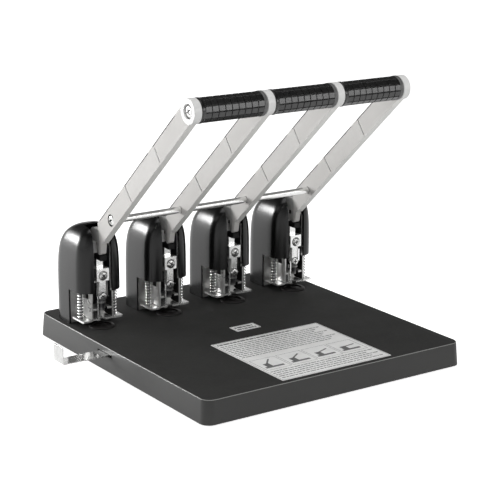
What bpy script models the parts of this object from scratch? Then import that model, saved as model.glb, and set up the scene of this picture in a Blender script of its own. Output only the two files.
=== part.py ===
"""Four-hole lever punch: a flat base with four punch heads, worked together by one handle.

Metres, +Z up. X runs along the row of heads, Y towards the back, and the base stands on Z = 0. The punches stand on
the line Y = 0. Pieces of a head are modelled about their punch's axis, with heights counted from the base's top.
"""

import math

import bmesh
import bpy
import numpy as np
from mathutils import Matrix, Vector

# Row of heads
HEAD_COUNT = 4
HEAD_PITCH = 0.080

# Gaps that pieces keep
SEAT_GAP = 0.0003
SLIDE_GAP = 0.0003
OVERRUN = 0.010
BITE = 0.0005

# Base shell and its bottom cover
BASE_WIDTH = 0.300
BASE_DEPTH = 0.318
BASE_BACK_Y = 0.0774
BASE_HEIGHT = 0.0235
BASE_CORNER_RADIUS = 0.010
BASE_DRAFT = 0.0015
BASE_EDGE_CHAMFER = 0.0009
BASE_WALL = 0.0040
BASE_TOP_THICKNESS = 0.0056
BOTTOM_COVER_DROP = 0.0015
BOTTOM_COVER_THICKNESS = 0.0030
BASE_TOP_Z = BOTTOM_COVER_DROP + BASE_HEIGHT

# Cutting disc, let into the base
DISC_RADIUS = 0.0133
DISC_RISE = 0.0015
DISC_SUNK = 0.0030
DISC_CHAMFER = 0.0005
DISC_TOP = DISC_RISE

# Paper gauge, and the rails that carry it under the base's top
GAUGE_THICKNESS = 0.0012
GAUGE_WIDTH = 0.0184
GAUGE_Y = -0.0590
GAUGE_END_X = -0.2012
GAUGE_INNER_X = -0.0360
GAUGE_STOP_TOP = 0.0108
GAUGE_BEND_RADIUS = 0.0020
GAUGE_TRAVEL_IN = 0.0480
GAUGE_SLOT_LENGTH = 0.0280
GAUGE_SLOT_HEIGHT = 0.0030
RAIL_THICKNESS = 0.0020
RAIL_LIP_WIDTH = 0.0040
RAIL_LIP_THICKNESS = 0.0015
RAIL_END_MARGIN = 0.0030

# Head cover
COVER_HALF_WIDTH = 0.0245
COVER_FRONT_Y = -0.0050
COVER_BACK_Y = 0.0630
COVER_HEIGHT = 0.1060
COVER_WALL = 0.0018
COVER_FRONT_RADIUS = 0.0140
COVER_BACK_RADIUS = 0.0220
COVER_CROWN_Y = 0.0090
COVER_SLOT_HALF_WIDTH = 0.0103
COVER_SLOT_BACK_Y = 0.0160
COVER_SKIRT_Z = 0.0370
COVER_LEVEL_SHARES = (0.0, 0.45, 0.68, 0.80, 0.88, 0.93, 0.965, 0.99)
COVER_SIDE_POWER = 8.5
COVER_BACK_POWER = 6.0
COVER_FRONT_POWER = 12.0

# Head frame
CHEEK_INNER_X = 0.0108
CHEEK_THICKNESS = 0.0020
CHEEK_FRONT_Y = -0.0020
CHEEK_STEP_Y = 0.0008
CHEEK_NOTCH_Y = 0.0150
CHEEK_NOTCH_Z = 0.0200
CHEEK_CORNER_RADIUS = 0.0040
CHEEK_TOP_Z = 0.0860
CHEEK_BACK_Y = 0.0320
CHEEK_TOP_RADIUS = 0.0080
BACK_PLATE_Y = 0.0253
BACK_PLATE_THICKNESS = 0.0020
BACK_PLATE_TOP_Z = 0.0580
FLANGE_LENGTH = 0.0180
FLANGE_THICKNESS = 0.0020
BRIDGE_BOTTOM_Z = 0.0175
BRIDGE_THICKNESS = 0.0020
BRIDGE_FRONT_Y = -0.0012
BRIDGE_NOTCH_RADIUS = 0.0061
WINDOW_MARGIN = 0.0010
PIVOT_Y = 0.0210
PIVOT_Z = 0.0723
PIVOT_PIN_RADIUS = 0.0040
PIVOT_PIN_END = 0.0012

# Foot plate, with the rods that guide the springs
FOOT_BOTTOM_Z = 0.0070
FOOT_THICKNESS = 0.0018
FOOT_HALF_WIDTH = 0.0232
FOOT_FRONT_Y = -0.0032
FOOT_EAR_BACK_Y = 0.0200
FOOT_TAIL_HALF_WIDTH = 0.0160
FOOT_NOTCH_HALF_WIDTH = 0.0115
FOOT_NOTCH_DEPTH = 0.0009
FOOT_CORNER_RADIUS = 0.0012
GUIDE_X = 0.0189
GUIDE_Y = 0.00875
GUIDE_RADIUS = 0.0016
GUIDE_TOP_Z = 0.0520
FINGER_X = -0.0054
FINGER_WIDTH = 0.0012
FINGER_THICKNESS = 0.0010
FINGER_TOP_Z = 0.0323

# Return spring
SPRING_MEAN_RADIUS = 0.0030
SPRING_WIRE_RADIUS = 0.0006
SPRING_TURNS = 11
SPRING_POINTS_PER_TURN = 8

# Carriage, its punch and its screws
STROKE = 0.01545
BAR_HALF_WIDTH = 0.0036
BAR_FRONT_Y = -0.0030
BAR_BACK_Y = 0.0042
BLOCK_HALF_WIDTH = 0.0070
BLOCK_FRONT_Y = -0.0044
BLOCK_BACK_Y = 0.0090
BLOCK_BOTTOM_Z = 0.0483
BLOCK_TOP_Z = 0.0614
TOP_BAR_FRONT_Y = 0.0020
TOP_BAR_BACK_Y = 0.0070
TOP_BAR_TOP_Z = 0.0700
PAD_FRONT_Y = -0.0064
CROSSHEAD_HALF_WIDTH = 0.0213
CROSSHEAD_FRONT_Y = 0.0050
CROSSHEAD_BACK_Y = 0.0125
CROSSHEAD_BOTTOM_Z = 0.0450
CROSSHEAD_THICKNESS = 0.0036
CROSSHEAD_GUIDE_GAP = 0.0004
CLAMP_SCREW_Z = 0.0540
CLAMP_SCREW_HEAD_RADIUS = 0.0045
CLAMP_SCREW_HEAD_THICKNESS = 0.0020
CLAMP_SCREW_SHANK_RADIUS = 0.0020
CLAMP_SCREW_SHANK_LENGTH = 0.0070
PIN_SCREW_Z = 0.0315
PIN_SCREW_HEAD_RADIUS = 0.0040
PIN_SCREW_HEAD_THICKNESS = 0.0011
PIN_SCREW_SHANK_RADIUS = 0.0012
SCREW_HOLE_GAP = 0.0003
PUNCH_RADIUS = 0.0030
PUNCH_BORE_RADIUS = 0.0022
PUNCH_BORE_DEPTH = 0.0040
PUNCH_COLLAR_RADIUS = 0.0047
PUNCH_COLLAR_THICKNESS = 0.0024
PUNCH_SHANK_RADIUS = 0.0016
PUNCH_SHANK_LENGTH = 0.0120
PUNCH_FOOT_GAP = 0.0006

# Lever arms: heights here too are counted from the base's top
LEVER_NOSE_Y = -0.0028
LEVER_NOSE_Z = 0.0800
LEVER_NOSE_RADIUS = 0.0040
LEVER_PLATE_HALF_WIDTH = 0.0030
LEVER_BOSS_RADIUS = 0.0090
LEVER_SPACER_RADIUS = 0.0068
LEVER_RECESS_Z = 0.0885
LEVER_RECESS_Y = 0.0060
LEVER_TAIL_Y = 0.0120
LEVER_TAIL_DROP = 0.0075
ARM_HALF_THICKNESS = 0.00375
ARM_WIDTH = 0.0204
ARM_HEEL_LENGTH = 0.0153
ARM_TIP_LENGTH = 0.0078
ARM_START_Y = -0.0020
ARM_START_Z = 0.1090
LEVER_TAIL_Z = ARM_START_Z - LEVER_TAIL_DROP
HUB_Y = -0.1715
HUB_Z = 0.2470
HUB_RADIUS = 0.0120
HUB_HALF_WIDTH = 0.0041

# Cross rod and the screws that close its ends
CROSS_ROD_Y = -0.0290
CROSS_ROD_Z = 0.1170
CROSS_ROD_RADIUS = 0.0035
ROD_SCREW_HEAD_RADIUS = 0.0058
ROD_SCREW_HEAD_THICKNESS = 0.0020
ROD_SCREW_SEAT_DEPTH = 0.0018
ROD_SCREW_SHANK_RADIUS = 0.0018
ROD_SCREW_SHANK_LENGTH = 0.0060

# Handle bar, its grips and its screws
HANDLE_RADIUS = 0.0080
HANDLE_SCREW_HEAD_RADIUS = 0.0060
HANDLE_SCREW_SEAT_RADIUS = 0.00675
HANDLE_SCREW_SEAT_DEPTH = 0.0024
HANDLE_SCREW_HEAD_THICKNESS = 0.0018
HANDLE_SCREW_SHANK_RADIUS = 0.0025
HANDLE_SCREW_SHANK_LENGTH = 0.0080
GRIP_RADIUS = 0.0120
GRIP_CHAMFER = 0.0008

# Facets
FINE_SIDES = 18
ROUND_SIDES = 10
SMALL_SIDES = 8
CORNER_STEPS = 3
WELD = 0.000001
SHARP_ANGLE = math.radians(35)

# Orientation of flat outlines: which way an outline's first and second coordinate and its thickness point
PLANES = {
    "XY": Matrix(((1, 0, 0, 0), (0, 1, 0, 0), (0, 0, 1, 0), (0, 0, 0, 1))),
    "YZ": Matrix(((0, 0, 1, 0), (1, 0, 0, 0), (0, 1, 0, 0), (0, 0, 0, 1))),
    "ZX": Matrix(((0, 1, 0, 0), (0, 0, 1, 0), (1, 0, 0, 0), (0, 0, 0, 1))),
}
AXES = {"X": "YZ", "Y": "ZX", "Z": "XY"}


def collection(name, hidden=False):
    """A collection of the scene, left out of renders if hidden."""
    group = bpy.data.collections.new(name)
    group.hide_render = hidden
    bpy.context.scene.collection.children.link(group)
    return group


def material(name, colour, roughness, metallic=0.0):
    """A plain Principled material."""
    made = bpy.data.materials.new(name)
    made.use_nodes = True
    shader = made.node_tree.nodes["Principled BSDF"]
    shader.inputs["Base Color"].default_value = (*colour, 1.0)
    shader.inputs["Roughness"].default_value = roughness
    shader.inputs["Metallic"].default_value = metallic
    return made


def blank(mesh):
    """A working object that holds the mesh."""
    body = bpy.data.objects.new("blank", mesh)
    body.display_type = "WIRE"
    body.hide_render = True
    bpy.data.collections["workpieces"].objects.link(body)
    return body


def evaluated_mesh(body):
    """The body's mesh with its modifiers applied."""
    graph = bpy.context.evaluated_depsgraph_get()
    return bpy.data.meshes.new_from_object(body.evaluated_get(graph))


def from_bmesh(bm):
    """A working object from a bmesh, with its faces turned outwards."""
    bmesh.ops.recalc_face_normals(bm, faces=bm.faces)
    mesh = bpy.data.meshes.new("blank")
    bm.to_mesh(mesh)
    bm.free()
    return blank(mesh)


def box(low, high):
    """A box between two corners."""
    low = Vector(low)
    high = Vector(high)
    bm = bmesh.new()
    bmesh.ops.create_cube(bm, size=1.0)
    bmesh.ops.scale(bm, vec=high - low, verts=bm.verts)
    bmesh.ops.translate(bm, vec=(low + high) / 2, verts=bm.verts)
    return from_bmesh(bm)


def cylinder(axis, radius, start, end, centre, sides):
    """A cylinder from start to end along an axis, centred in that axis's plane."""
    bm = bmesh.new()
    bmesh.ops.create_cone(bm, cap_ends=True, segments=sides, radius1=radius, radius2=radius, depth=end - start)
    half_facet = Matrix.Rotation(math.pi / sides, 4, "Z")
    place = Matrix.Translation((*centre, (start + end) / 2))
    bmesh.ops.transform(bm, matrix=PLANES[AXES[axis]] @ place @ half_facet, verts=bm.verts)
    return from_bmesh(bm)


def plate(plane, outline, near, far):
    """A flat outline, filled and extruded from near to far across its plane."""
    curve = bpy.data.curves.new("outline", "CURVE")
    curve.dimensions = "2D"
    curve.fill_mode = "BOTH"
    curve.extrude = (far - near) / 2
    spline = curve.splines.new("POLY")
    spline.points.add(len(outline) - 1)
    for point, (first, second) in zip(spline.points, outline):
        point.co = (first, second, 0.0, 1.0)
    spline.use_cyclic_u = True
    guide = bpy.data.objects.new("outline", curve)
    bpy.data.collections["workpieces"].objects.link(guide)
    bm = bmesh.new()
    bm.from_mesh(evaluated_mesh(guide))
    bmesh.ops.remove_doubles(bm, verts=bm.verts, dist=WELD)
    place = PLANES[plane] @ Matrix.Translation((0.0, 0.0, (near + far) / 2))
    bmesh.ops.transform(bm, matrix=place, verts=bm.verts)
    bpy.data.objects.remove(guide)
    return from_bmesh(bm)


def turned(axis, profile, centre, sides, closed=False):
    """A turned solid: (radius, height) points down the outer side, screwed round the axis."""
    mesh = bpy.data.meshes.new("profile")
    points = [(radius, 0.0, height) for radius, height in profile]
    edges = [(i, i + 1) for i in range(len(points) - 1)]
    if closed:
        edges.append((len(points) - 1, 0))
    mesh.from_pydata(points, edges, [])
    body = blank(mesh)
    screw = body.modifiers.new("turn", "SCREW")
    screw.steps = sides
    screw.render_steps = sides
    screw.use_merge_vertices = True
    screw.merge_threshold = WELD
    bm = bmesh.new()
    bm.from_mesh(evaluated_mesh(body))
    bmesh.ops.remove_doubles(bm, verts=bm.verts, dist=WELD)
    place = PLANES[AXES[axis]] @ Matrix.Translation((*centre, 0.0))
    bmesh.ops.transform(bm, matrix=place, verts=bm.verts)
    bpy.data.objects.remove(body)
    return from_bmesh(bm)


def loft(rings, open_start=False):
    """A skin through rings of equally many points, capped at its ends."""
    bm = bmesh.new()
    rows = [[bm.verts.new(point) for point in ring] for ring in rings]
    for lower, upper in zip(rows, rows[1:]):
        for i in range(len(lower)):
            j = (i + 1) % len(lower)
            bm.faces.new((lower[i], lower[j], upper[j], upper[i]))
    if not open_start:
        bm.faces.new(list(reversed(rows[0])))
    bm.faces.new(rows[-1])
    return from_bmesh(bm)


def combine(body, tools, operation):
    """Joins tools to the body, or cuts them out of it, and removes them."""
    for tool in tools:
        step = body.modifiers.new(operation.lower(), "BOOLEAN")
        step.operation = operation
        step.object = tool
    body.data = evaluated_mesh(body)
    body.modifiers.clear()
    for tool in tools:
        bpy.data.objects.remove(tool)
    return body


def join(body, *tools):
    """The body with the tools added."""
    return combine(body, tools, "UNION")


def cut(body, *tools):
    """The body with the tools taken away."""
    return combine(body, tools, "DIFFERENCE")


def arc(centre, radius, start, end, steps):
    """Points of an arc, its angles in degrees."""
    angles = [math.radians(start + (end - start) * i / steps) for i in range(steps + 1)]
    return [(centre[0] + radius * math.cos(a), centre[1] + radius * math.sin(a)) for a in angles]


def rounded(corners, steps=CORNER_STEPS):
    """An outline whose corners, given as (first, second, radius), are rounded."""
    outline = []
    for i, (x, y, radius) in enumerate(corners):
        here = Vector((x, y))
        if radius == 0:
            outline.append((x, y))
            continue
        before = (Vector(corners[i - 1][:2]) - here).normalized()
        after = (Vector(corners[(i + 1) % len(corners)][:2]) - here).normalized()
        half_angle = before.angle(after) / 2
        middle = here + (before + after).normalized() * radius / math.sin(half_angle)
        start = here + before * radius / math.tan(half_angle) - middle
        end = here + after * radius / math.tan(half_angle) - middle
        turn = start.angle_signed(end)
        for k in range(steps + 1):
            spoke = Matrix.Rotation(-turn * k / steps, 2) @ start
            outline.append(tuple(middle + spoke))
    return outline


def rounded_box(half_width, front, back, front_radius, back_radius):
    """The outline of a box in plan, with rounded front and back corners."""
    corners = (
        (-half_width, front, front_radius),
        (half_width, front, front_radius),
        (half_width, back, back_radius),
        (-half_width, back, back_radius),
    )
    return rounded(corners)


def place_part(name, body, look, location, parent=None):
    """Makes a finished part of a working object: its name, material, place and shading."""
    body.name = name
    body.data.name = name
    body.data.materials.clear()
    body.data.materials.append(look)
    body.data.shade_smooth()
    body.data.set_sharp_from_angle(angle=SHARP_ANGLE)
    body.display_type = "TEXTURED"
    body.hide_render = False
    bpy.data.collections["workpieces"].objects.unlink(body)
    bpy.data.collections["four_hole_punch"].objects.link(body)
    body.location = location
    body.parent = parent
    return body


def place_copies(names, body, look, locations, parent=None):
    """The same solid at several places, as objects that share one mesh."""
    first = place_part(names[0], body, look, locations[0], parent)
    for name, location in zip(names[1:], locations[1:]):
        copy = bpy.data.objects.new(name, first.data)
        copy.location = location
        copy.parent = parent
        bpy.data.collections["four_hole_punch"].objects.link(copy)


def head_x(index):
    """The X of a punch, counted from the left."""
    return (index - (HEAD_COUNT - 1) / 2) * HEAD_PITCH


def head_names(kind):
    """One name for each head."""
    return [f"{kind}_{i + 1}" for i in range(HEAD_COUNT)]


def head_places():
    """Each head's origin: the foot of its punch's axis on the base's top."""
    return [(head_x(i), 0.0, BASE_TOP_Z) for i in range(HEAD_COUNT)]


def base_outline(grown):
    """The base's plan, grown outwards, or shrunk by a negative amount."""
    front = BASE_BACK_Y - BASE_DEPTH
    radius = BASE_CORNER_RADIUS + grown
    return rounded_box(BASE_WIDTH / 2 + grown, front - grown, BASE_BACK_Y + grown, radius, radius)


def base_ring(grown, z):
    """A ring of the base's skin."""
    return [(x, y, z) for x, y in base_outline(grown)]


def gauge_top():
    """The strip's top, counted from the base's top."""
    return -BASE_TOP_THICKNESS - SLIDE_GAP


def gauge_rail(side):
    """One rail under the base's top, with the lip that the strip rides on; side is -1 for the front rail."""
    edge = GAUGE_Y + side * (GAUGE_WIDTH / 2 + SLIDE_GAP)
    outer = edge + side * RAIL_THICKNESS
    inner = edge - side * RAIL_LIP_WIDTH
    top = BASE_TOP_Z - BASE_TOP_THICKNESS + BITE
    lip_top = BASE_TOP_Z + gauge_top() - GAUGE_THICKNESS - SLIDE_GAP
    lip_bottom = lip_top - RAIL_LIP_THICKNESS
    start = -BASE_WIDTH / 2 + BASE_WALL - BITE
    end = GAUGE_INNER_X + GAUGE_TRAVEL_IN + RAIL_END_MARGIN
    web = box((start, min(edge, outer), lip_bottom), (end, max(edge, outer), top))
    lip = box((start, min(inner, outer), lip_bottom), (end, max(inner, outer), lip_top))
    return join(web, lip)


def make_base(look):
    """The base: a shell open below, with seats for the cutting discs and a slot and rails for the gauge."""
    rings = (
        base_ring(BASE_DRAFT, BOTTOM_COVER_DROP),
        base_ring(BASE_EDGE_CHAMFER / BASE_HEIGHT * BASE_DRAFT, BASE_TOP_Z - BASE_EDGE_CHAMFER),
        base_ring(-BASE_EDGE_CHAMFER, BASE_TOP_Z),
    )
    shell = loft(rings)
    hollow = plate("XY", base_outline(-BASE_WALL), -OVERRUN, BASE_TOP_Z - BASE_TOP_THICKNESS)
    shell = cut(shell, hollow)
    seats = [
        cylinder(
            "Z",
            DISC_RADIUS + SEAT_GAP,
            BASE_TOP_Z - DISC_SUNK - SEAT_GAP,
            BASE_TOP_Z + OVERRUN,
            (head_x(i), 0.0),
            FINE_SIDES,
        )
        for i in range(HEAD_COUNT)
    ]
    slot_top = BASE_TOP_Z - BASE_TOP_THICKNESS
    slot = box(
        (-BASE_WIDTH / 2 - OVERRUN, GAUGE_Y - GAUGE_SLOT_LENGTH / 2, slot_top - GAUGE_SLOT_HEIGHT),
        (-BASE_WIDTH / 2 + BASE_WALL + BITE, GAUGE_Y + GAUGE_SLOT_LENGTH / 2, slot_top),
    )
    shell = join(shell, gauge_rail(-1), gauge_rail(1))
    shell = cut(shell, slot, *seats)
    place_part("base_shell", shell, look, (0.0, 0.0, 0.0))


def make_bottom_cover(look):
    """The plate that closes the base from below and stands on the table."""
    outline = base_outline(-BASE_WALL - SEAT_GAP)
    cover = plate("XY", outline, 0.0, BOTTOM_COVER_THICKNESS)
    place_part("bottom_mat", cover, look, (0.0, 0.0, 0.0))


def make_gauge(look):
    """The sliding paper gauge: a strip with an upstand at its outer end, about the middle of its slide."""
    top = gauge_top()
    bottom = top - GAUGE_THICKNESS
    inner_bend = max(GAUGE_BEND_RADIUS - GAUGE_THICKNESS, WELD)
    section = rounded(
        (
            (bottom, GAUGE_END_X, GAUGE_BEND_RADIUS),
            (GAUGE_STOP_TOP, GAUGE_END_X, 0),
            (GAUGE_STOP_TOP, GAUGE_END_X + GAUGE_THICKNESS, 0),
            (top, GAUGE_END_X + GAUGE_THICKNESS, inner_bend),
            (top, GAUGE_INNER_X, 0),
            (bottom, GAUGE_INNER_X, 0),
        )
    )
    strip = plate("ZX", section, -GAUGE_WIDTH / 2, GAUGE_WIDTH / 2)
    place_part("paper_gauge", strip, look, (0.0, GAUGE_Y, BASE_TOP_Z))


def make_discs(look):
    """The cutting discs under the punches."""
    rim = DISC_RADIUS - DISC_CHAMFER
    profile = ((0.0, DISC_TOP), (rim, DISC_TOP), (DISC_RADIUS, DISC_TOP - DISC_CHAMFER))
    profile += ((DISC_RADIUS, -DISC_SUNK), (0.0, -DISC_SUNK))
    disc = turned("Z", profile, (0.0, 0.0), FINE_SIDES)
    place_copies(head_names("cutting_disc"), disc, look, head_places())


def closing(share, power):
    """How far a cover's skin has come in at a share of its height, from 0 at the foot to 1 at the crown."""
    return 1 - math.sqrt(1 - share**power)


def cover_outline(share):
    """A cover's plan at a share of its height."""
    narrowed = 1 - closing(share, COVER_SIDE_POWER)
    front = COVER_FRONT_Y + (COVER_CROWN_Y - COVER_FRONT_Y) * closing(share, COVER_FRONT_POWER)
    back = COVER_BACK_Y - (COVER_BACK_Y - COVER_CROWN_Y) * closing(share, COVER_BACK_POWER)
    front_radius = COVER_FRONT_RADIUS * narrowed
    back_radius = COVER_BACK_RADIUS * narrowed
    return rounded_box(COVER_HALF_WIDTH * narrowed, front, back, front_radius, back_radius)


def make_covers(look):
    """The head covers: domed shells with a slot for the lever and the lower front cut away."""
    rings = []
    for share in COVER_LEVEL_SHARES:
        z = SEAT_GAP + (COVER_HEIGHT - SEAT_GAP) * share
        rings.append([(x, y, z) for x, y in cover_outline(share)])
    skin = loft(rings, open_start=True)
    wall = skin.modifiers.new("wall", "SOLIDIFY")
    wall.thickness = COVER_WALL
    wall.offset = -1.0
    skin.data = evaluated_mesh(skin)
    skin.modifiers.clear()
    slot = box(
        (-COVER_SLOT_HALF_WIDTH, COVER_FRONT_Y - OVERRUN, COVER_SKIRT_Z / 2),
        (COVER_SLOT_HALF_WIDTH, COVER_SLOT_BACK_Y, COVER_HEIGHT + OVERRUN),
    )
    skirt = box(
        (-COVER_HALF_WIDTH - OVERRUN, COVER_FRONT_Y - OVERRUN, -OVERRUN),
        (COVER_HALF_WIDTH + OVERRUN, BACK_PLATE_Y, COVER_SKIRT_Z),
    )
    cover = cut(skin, join(slot, skirt))
    place_copies(head_names("cover"), cover, look, head_places())


def foot_top():
    """The foot plate's upper face."""
    return FOOT_BOTTOM_Z + FOOT_THICKNESS


def cheek(side):
    """One side plate of a head frame, with its window for the crosshead and its bore for the pivot pin."""
    bottom = foot_top() + SEAT_GAP
    back_joint = BACK_PLATE_Y + BITE
    step_z = COVER_SKIRT_Z - WINDOW_MARGIN
    outline = rounded(
        (
            (CHEEK_FRONT_Y, bottom, CHEEK_CORNER_RADIUS / 4),
            (CHEEK_NOTCH_Y, bottom, CHEEK_CORNER_RADIUS),
            (CHEEK_NOTCH_Y, CHEEK_NOTCH_Z, 0),
            (back_joint, CHEEK_NOTCH_Z, 0),
            (back_joint, BACK_PLATE_TOP_Z, 0),
            (CHEEK_BACK_Y, BACK_PLATE_TOP_Z, CHEEK_CORNER_RADIUS),
            (CHEEK_BACK_Y, CHEEK_TOP_Z, CHEEK_TOP_RADIUS),
            (CHEEK_STEP_Y, CHEEK_TOP_Z, CHEEK_TOP_RADIUS),
            (CHEEK_STEP_Y, step_z, 0),
            (CHEEK_FRONT_Y, step_z, 0),
        )
    )
    inner = CHEEK_INNER_X
    outer = inner + CHEEK_THICKNESS
    body = plate("YZ", outline, min(side * inner, side * outer), max(side * inner, side * outer))
    window = box(
        (-outer - OVERRUN, CROSSHEAD_FRONT_Y - WINDOW_MARGIN, CROSSHEAD_BOTTOM_Z - STROKE - WINDOW_MARGIN),
        (
            outer + OVERRUN,
            CROSSHEAD_BACK_Y + WINDOW_MARGIN,
            CROSSHEAD_BOTTOM_Z + CROSSHEAD_THICKNESS + WINDOW_MARGIN,
        ),
    )
    bore = cylinder(
        "X", PIVOT_PIN_RADIUS + SEAT_GAP, -outer - OVERRUN, outer + OVERRUN, (PIVOT_Y, PIVOT_Z), ROUND_SIDES
    )
    return cut(body, window, bore)


def make_frames(look):
    """The head frames: two cheeks, the back plate with its flange, and the bridge round the punch."""
    half_width = COVER_HALF_WIDTH - COVER_WALL - 2 * SEAT_GAP
    back = box(
        (-half_width, BACK_PLATE_Y, SEAT_GAP),
        (half_width, BACK_PLATE_Y + BACK_PLATE_THICKNESS, BACK_PLATE_TOP_Z),
    )
    flange_back = BACK_PLATE_Y + BACK_PLATE_THICKNESS + FLANGE_LENGTH
    flange_half_width = CHEEK_INNER_X + CHEEK_THICKNESS
    flange = box(
        (-flange_half_width, BACK_PLATE_Y + BITE, SEAT_GAP),
        (flange_half_width, flange_back, SEAT_GAP + FLANGE_THICKNESS),
    )
    bridge_top = BRIDGE_BOTTOM_Z + BRIDGE_THICKNESS
    bridge_half_width = CHEEK_INNER_X + BITE
    bridge = box(
        (-bridge_half_width, BRIDGE_FRONT_Y, BRIDGE_BOTTOM_Z), (bridge_half_width, CHEEK_NOTCH_Y - BITE, bridge_top)
    )
    notch = cylinder(
        "Z", BRIDGE_NOTCH_RADIUS, BRIDGE_BOTTOM_Z - OVERRUN, bridge_top + OVERRUN, (0.0, 0.0), ROUND_SIDES
    )
    frame = join(back, flange, cheek(-1), cheek(1), cut(bridge, notch))
    place_copies(head_names("head_frame"), frame, look, head_places())


def make_foot_plates(look):
    """The foot plates over the paper, with the rods that carry the springs and the upright finger by the punch."""
    notch_back = FOOT_FRONT_Y + FOOT_NOTCH_DEPTH
    corners = (
        (-FOOT_HALF_WIDTH, FOOT_FRONT_Y, FOOT_CORNER_RADIUS),
        (-FOOT_NOTCH_HALF_WIDTH, FOOT_FRONT_Y, 0),
        (-FOOT_NOTCH_HALF_WIDTH, notch_back, 0),
        (FOOT_NOTCH_HALF_WIDTH, notch_back, 0),
        (FOOT_NOTCH_HALF_WIDTH, FOOT_FRONT_Y, 0),
        (FOOT_HALF_WIDTH, FOOT_FRONT_Y, FOOT_CORNER_RADIUS),
        (FOOT_HALF_WIDTH, FOOT_EAR_BACK_Y, FOOT_CORNER_RADIUS),
        (FOOT_TAIL_HALF_WIDTH, FOOT_EAR_BACK_Y, 0),
        (FOOT_TAIL_HALF_WIDTH, BACK_PLATE_Y - SEAT_GAP, 0),
        (-FOOT_TAIL_HALF_WIDTH, BACK_PLATE_Y - SEAT_GAP, 0),
        (-FOOT_TAIL_HALF_WIDTH, FOOT_EAR_BACK_Y, 0),
        (-FOOT_HALF_WIDTH, FOOT_EAR_BACK_Y, FOOT_CORNER_RADIUS),
    )
    foot = plate("XY", rounded(corners), FOOT_BOTTOM_Z, foot_top())
    rods = [
        cylinder("Z", GUIDE_RADIUS, foot_top() - BITE, GUIDE_TOP_Z, (side * GUIDE_X, GUIDE_Y), SMALL_SIDES)
        for side in (-1, 1)
    ]
    finger = box(
        (FINGER_X - FINGER_WIDTH / 2, notch_back - FINGER_THICKNESS / 2, FOOT_BOTTOM_Z),
        (FINGER_X + FINGER_WIDTH / 2, notch_back + FINGER_THICKNESS / 2, FINGER_TOP_Z),
    )
    foot = join(foot, finger, *rods)
    hole_radius = PUNCH_RADIUS + PUNCH_FOOT_GAP
    hole = cylinder("Z", hole_radius, FOOT_BOTTOM_Z - OVERRUN, foot_top() + OVERRUN, (0.0, 0.0), ROUND_SIDES)
    place_copies(head_names("foot_plate"), cut(foot, hole), look, head_places())


def spring_points():
    """Centre points of a spring's wire, from its foot plate up to the crosshead."""
    low = foot_top() + SEAT_GAP + SPRING_WIRE_RADIUS
    high = CROSSHEAD_BOTTOM_Z - SEAT_GAP - SPRING_WIRE_RADIUS
    count = SPRING_TURNS * SPRING_POINTS_PER_TURN
    points = []
    for i in range(count + 1):
        angle = math.tau * i / SPRING_POINTS_PER_TURN
        height = low + (high - low) * i / count
        points.append((SPRING_MEAN_RADIUS * math.cos(angle), SPRING_MEAN_RADIUS * math.sin(angle), height))
    return points


def least_self_gap(points, wire_radius, apart):
    """The least gap between stretches of a wire that are some points apart along it."""
    line = np.array(points)
    gaps = [np.linalg.norm(line[i + apart :] - line[i], axis=1).min() for i in range(len(line) - apart)]
    return min(gaps) - 2 * wire_radius


def make_springs(look):
    """The return springs, two to a head, each one unbroken wire."""
    points = spring_points()
    gap = least_self_gap(points, SPRING_WIRE_RADIUS, SPRING_POINTS_PER_TURN // 2 + 1)
    print(f"spring: least gap to itself {gap * 1000:.2f} mm")
    for side, word in ((-1, "left"), (1, "right")):
        for name, (x, y, z) in zip(head_names(f"return_spring_{word}"), head_places()):
            wire = bpy.data.curves.new(name, "CURVE")
            wire.dimensions = "3D"
            wire.bevel_depth = SPRING_WIRE_RADIUS
            wire.bevel_resolution = 1
            wire.use_fill_caps = True
            wire.materials.append(look)
            spline = wire.splines.new("POLY")
            spline.points.add(len(points) - 1)
            for point, place in zip(spline.points, points):
                point.co = (*place, 1.0)
            spring = bpy.data.objects.new(name, wire)
            spring.location = (x + side * GUIDE_X, y + GUIDE_Y, z)
            bpy.data.collections["four_hole_punch"].objects.link(spring)


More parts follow.
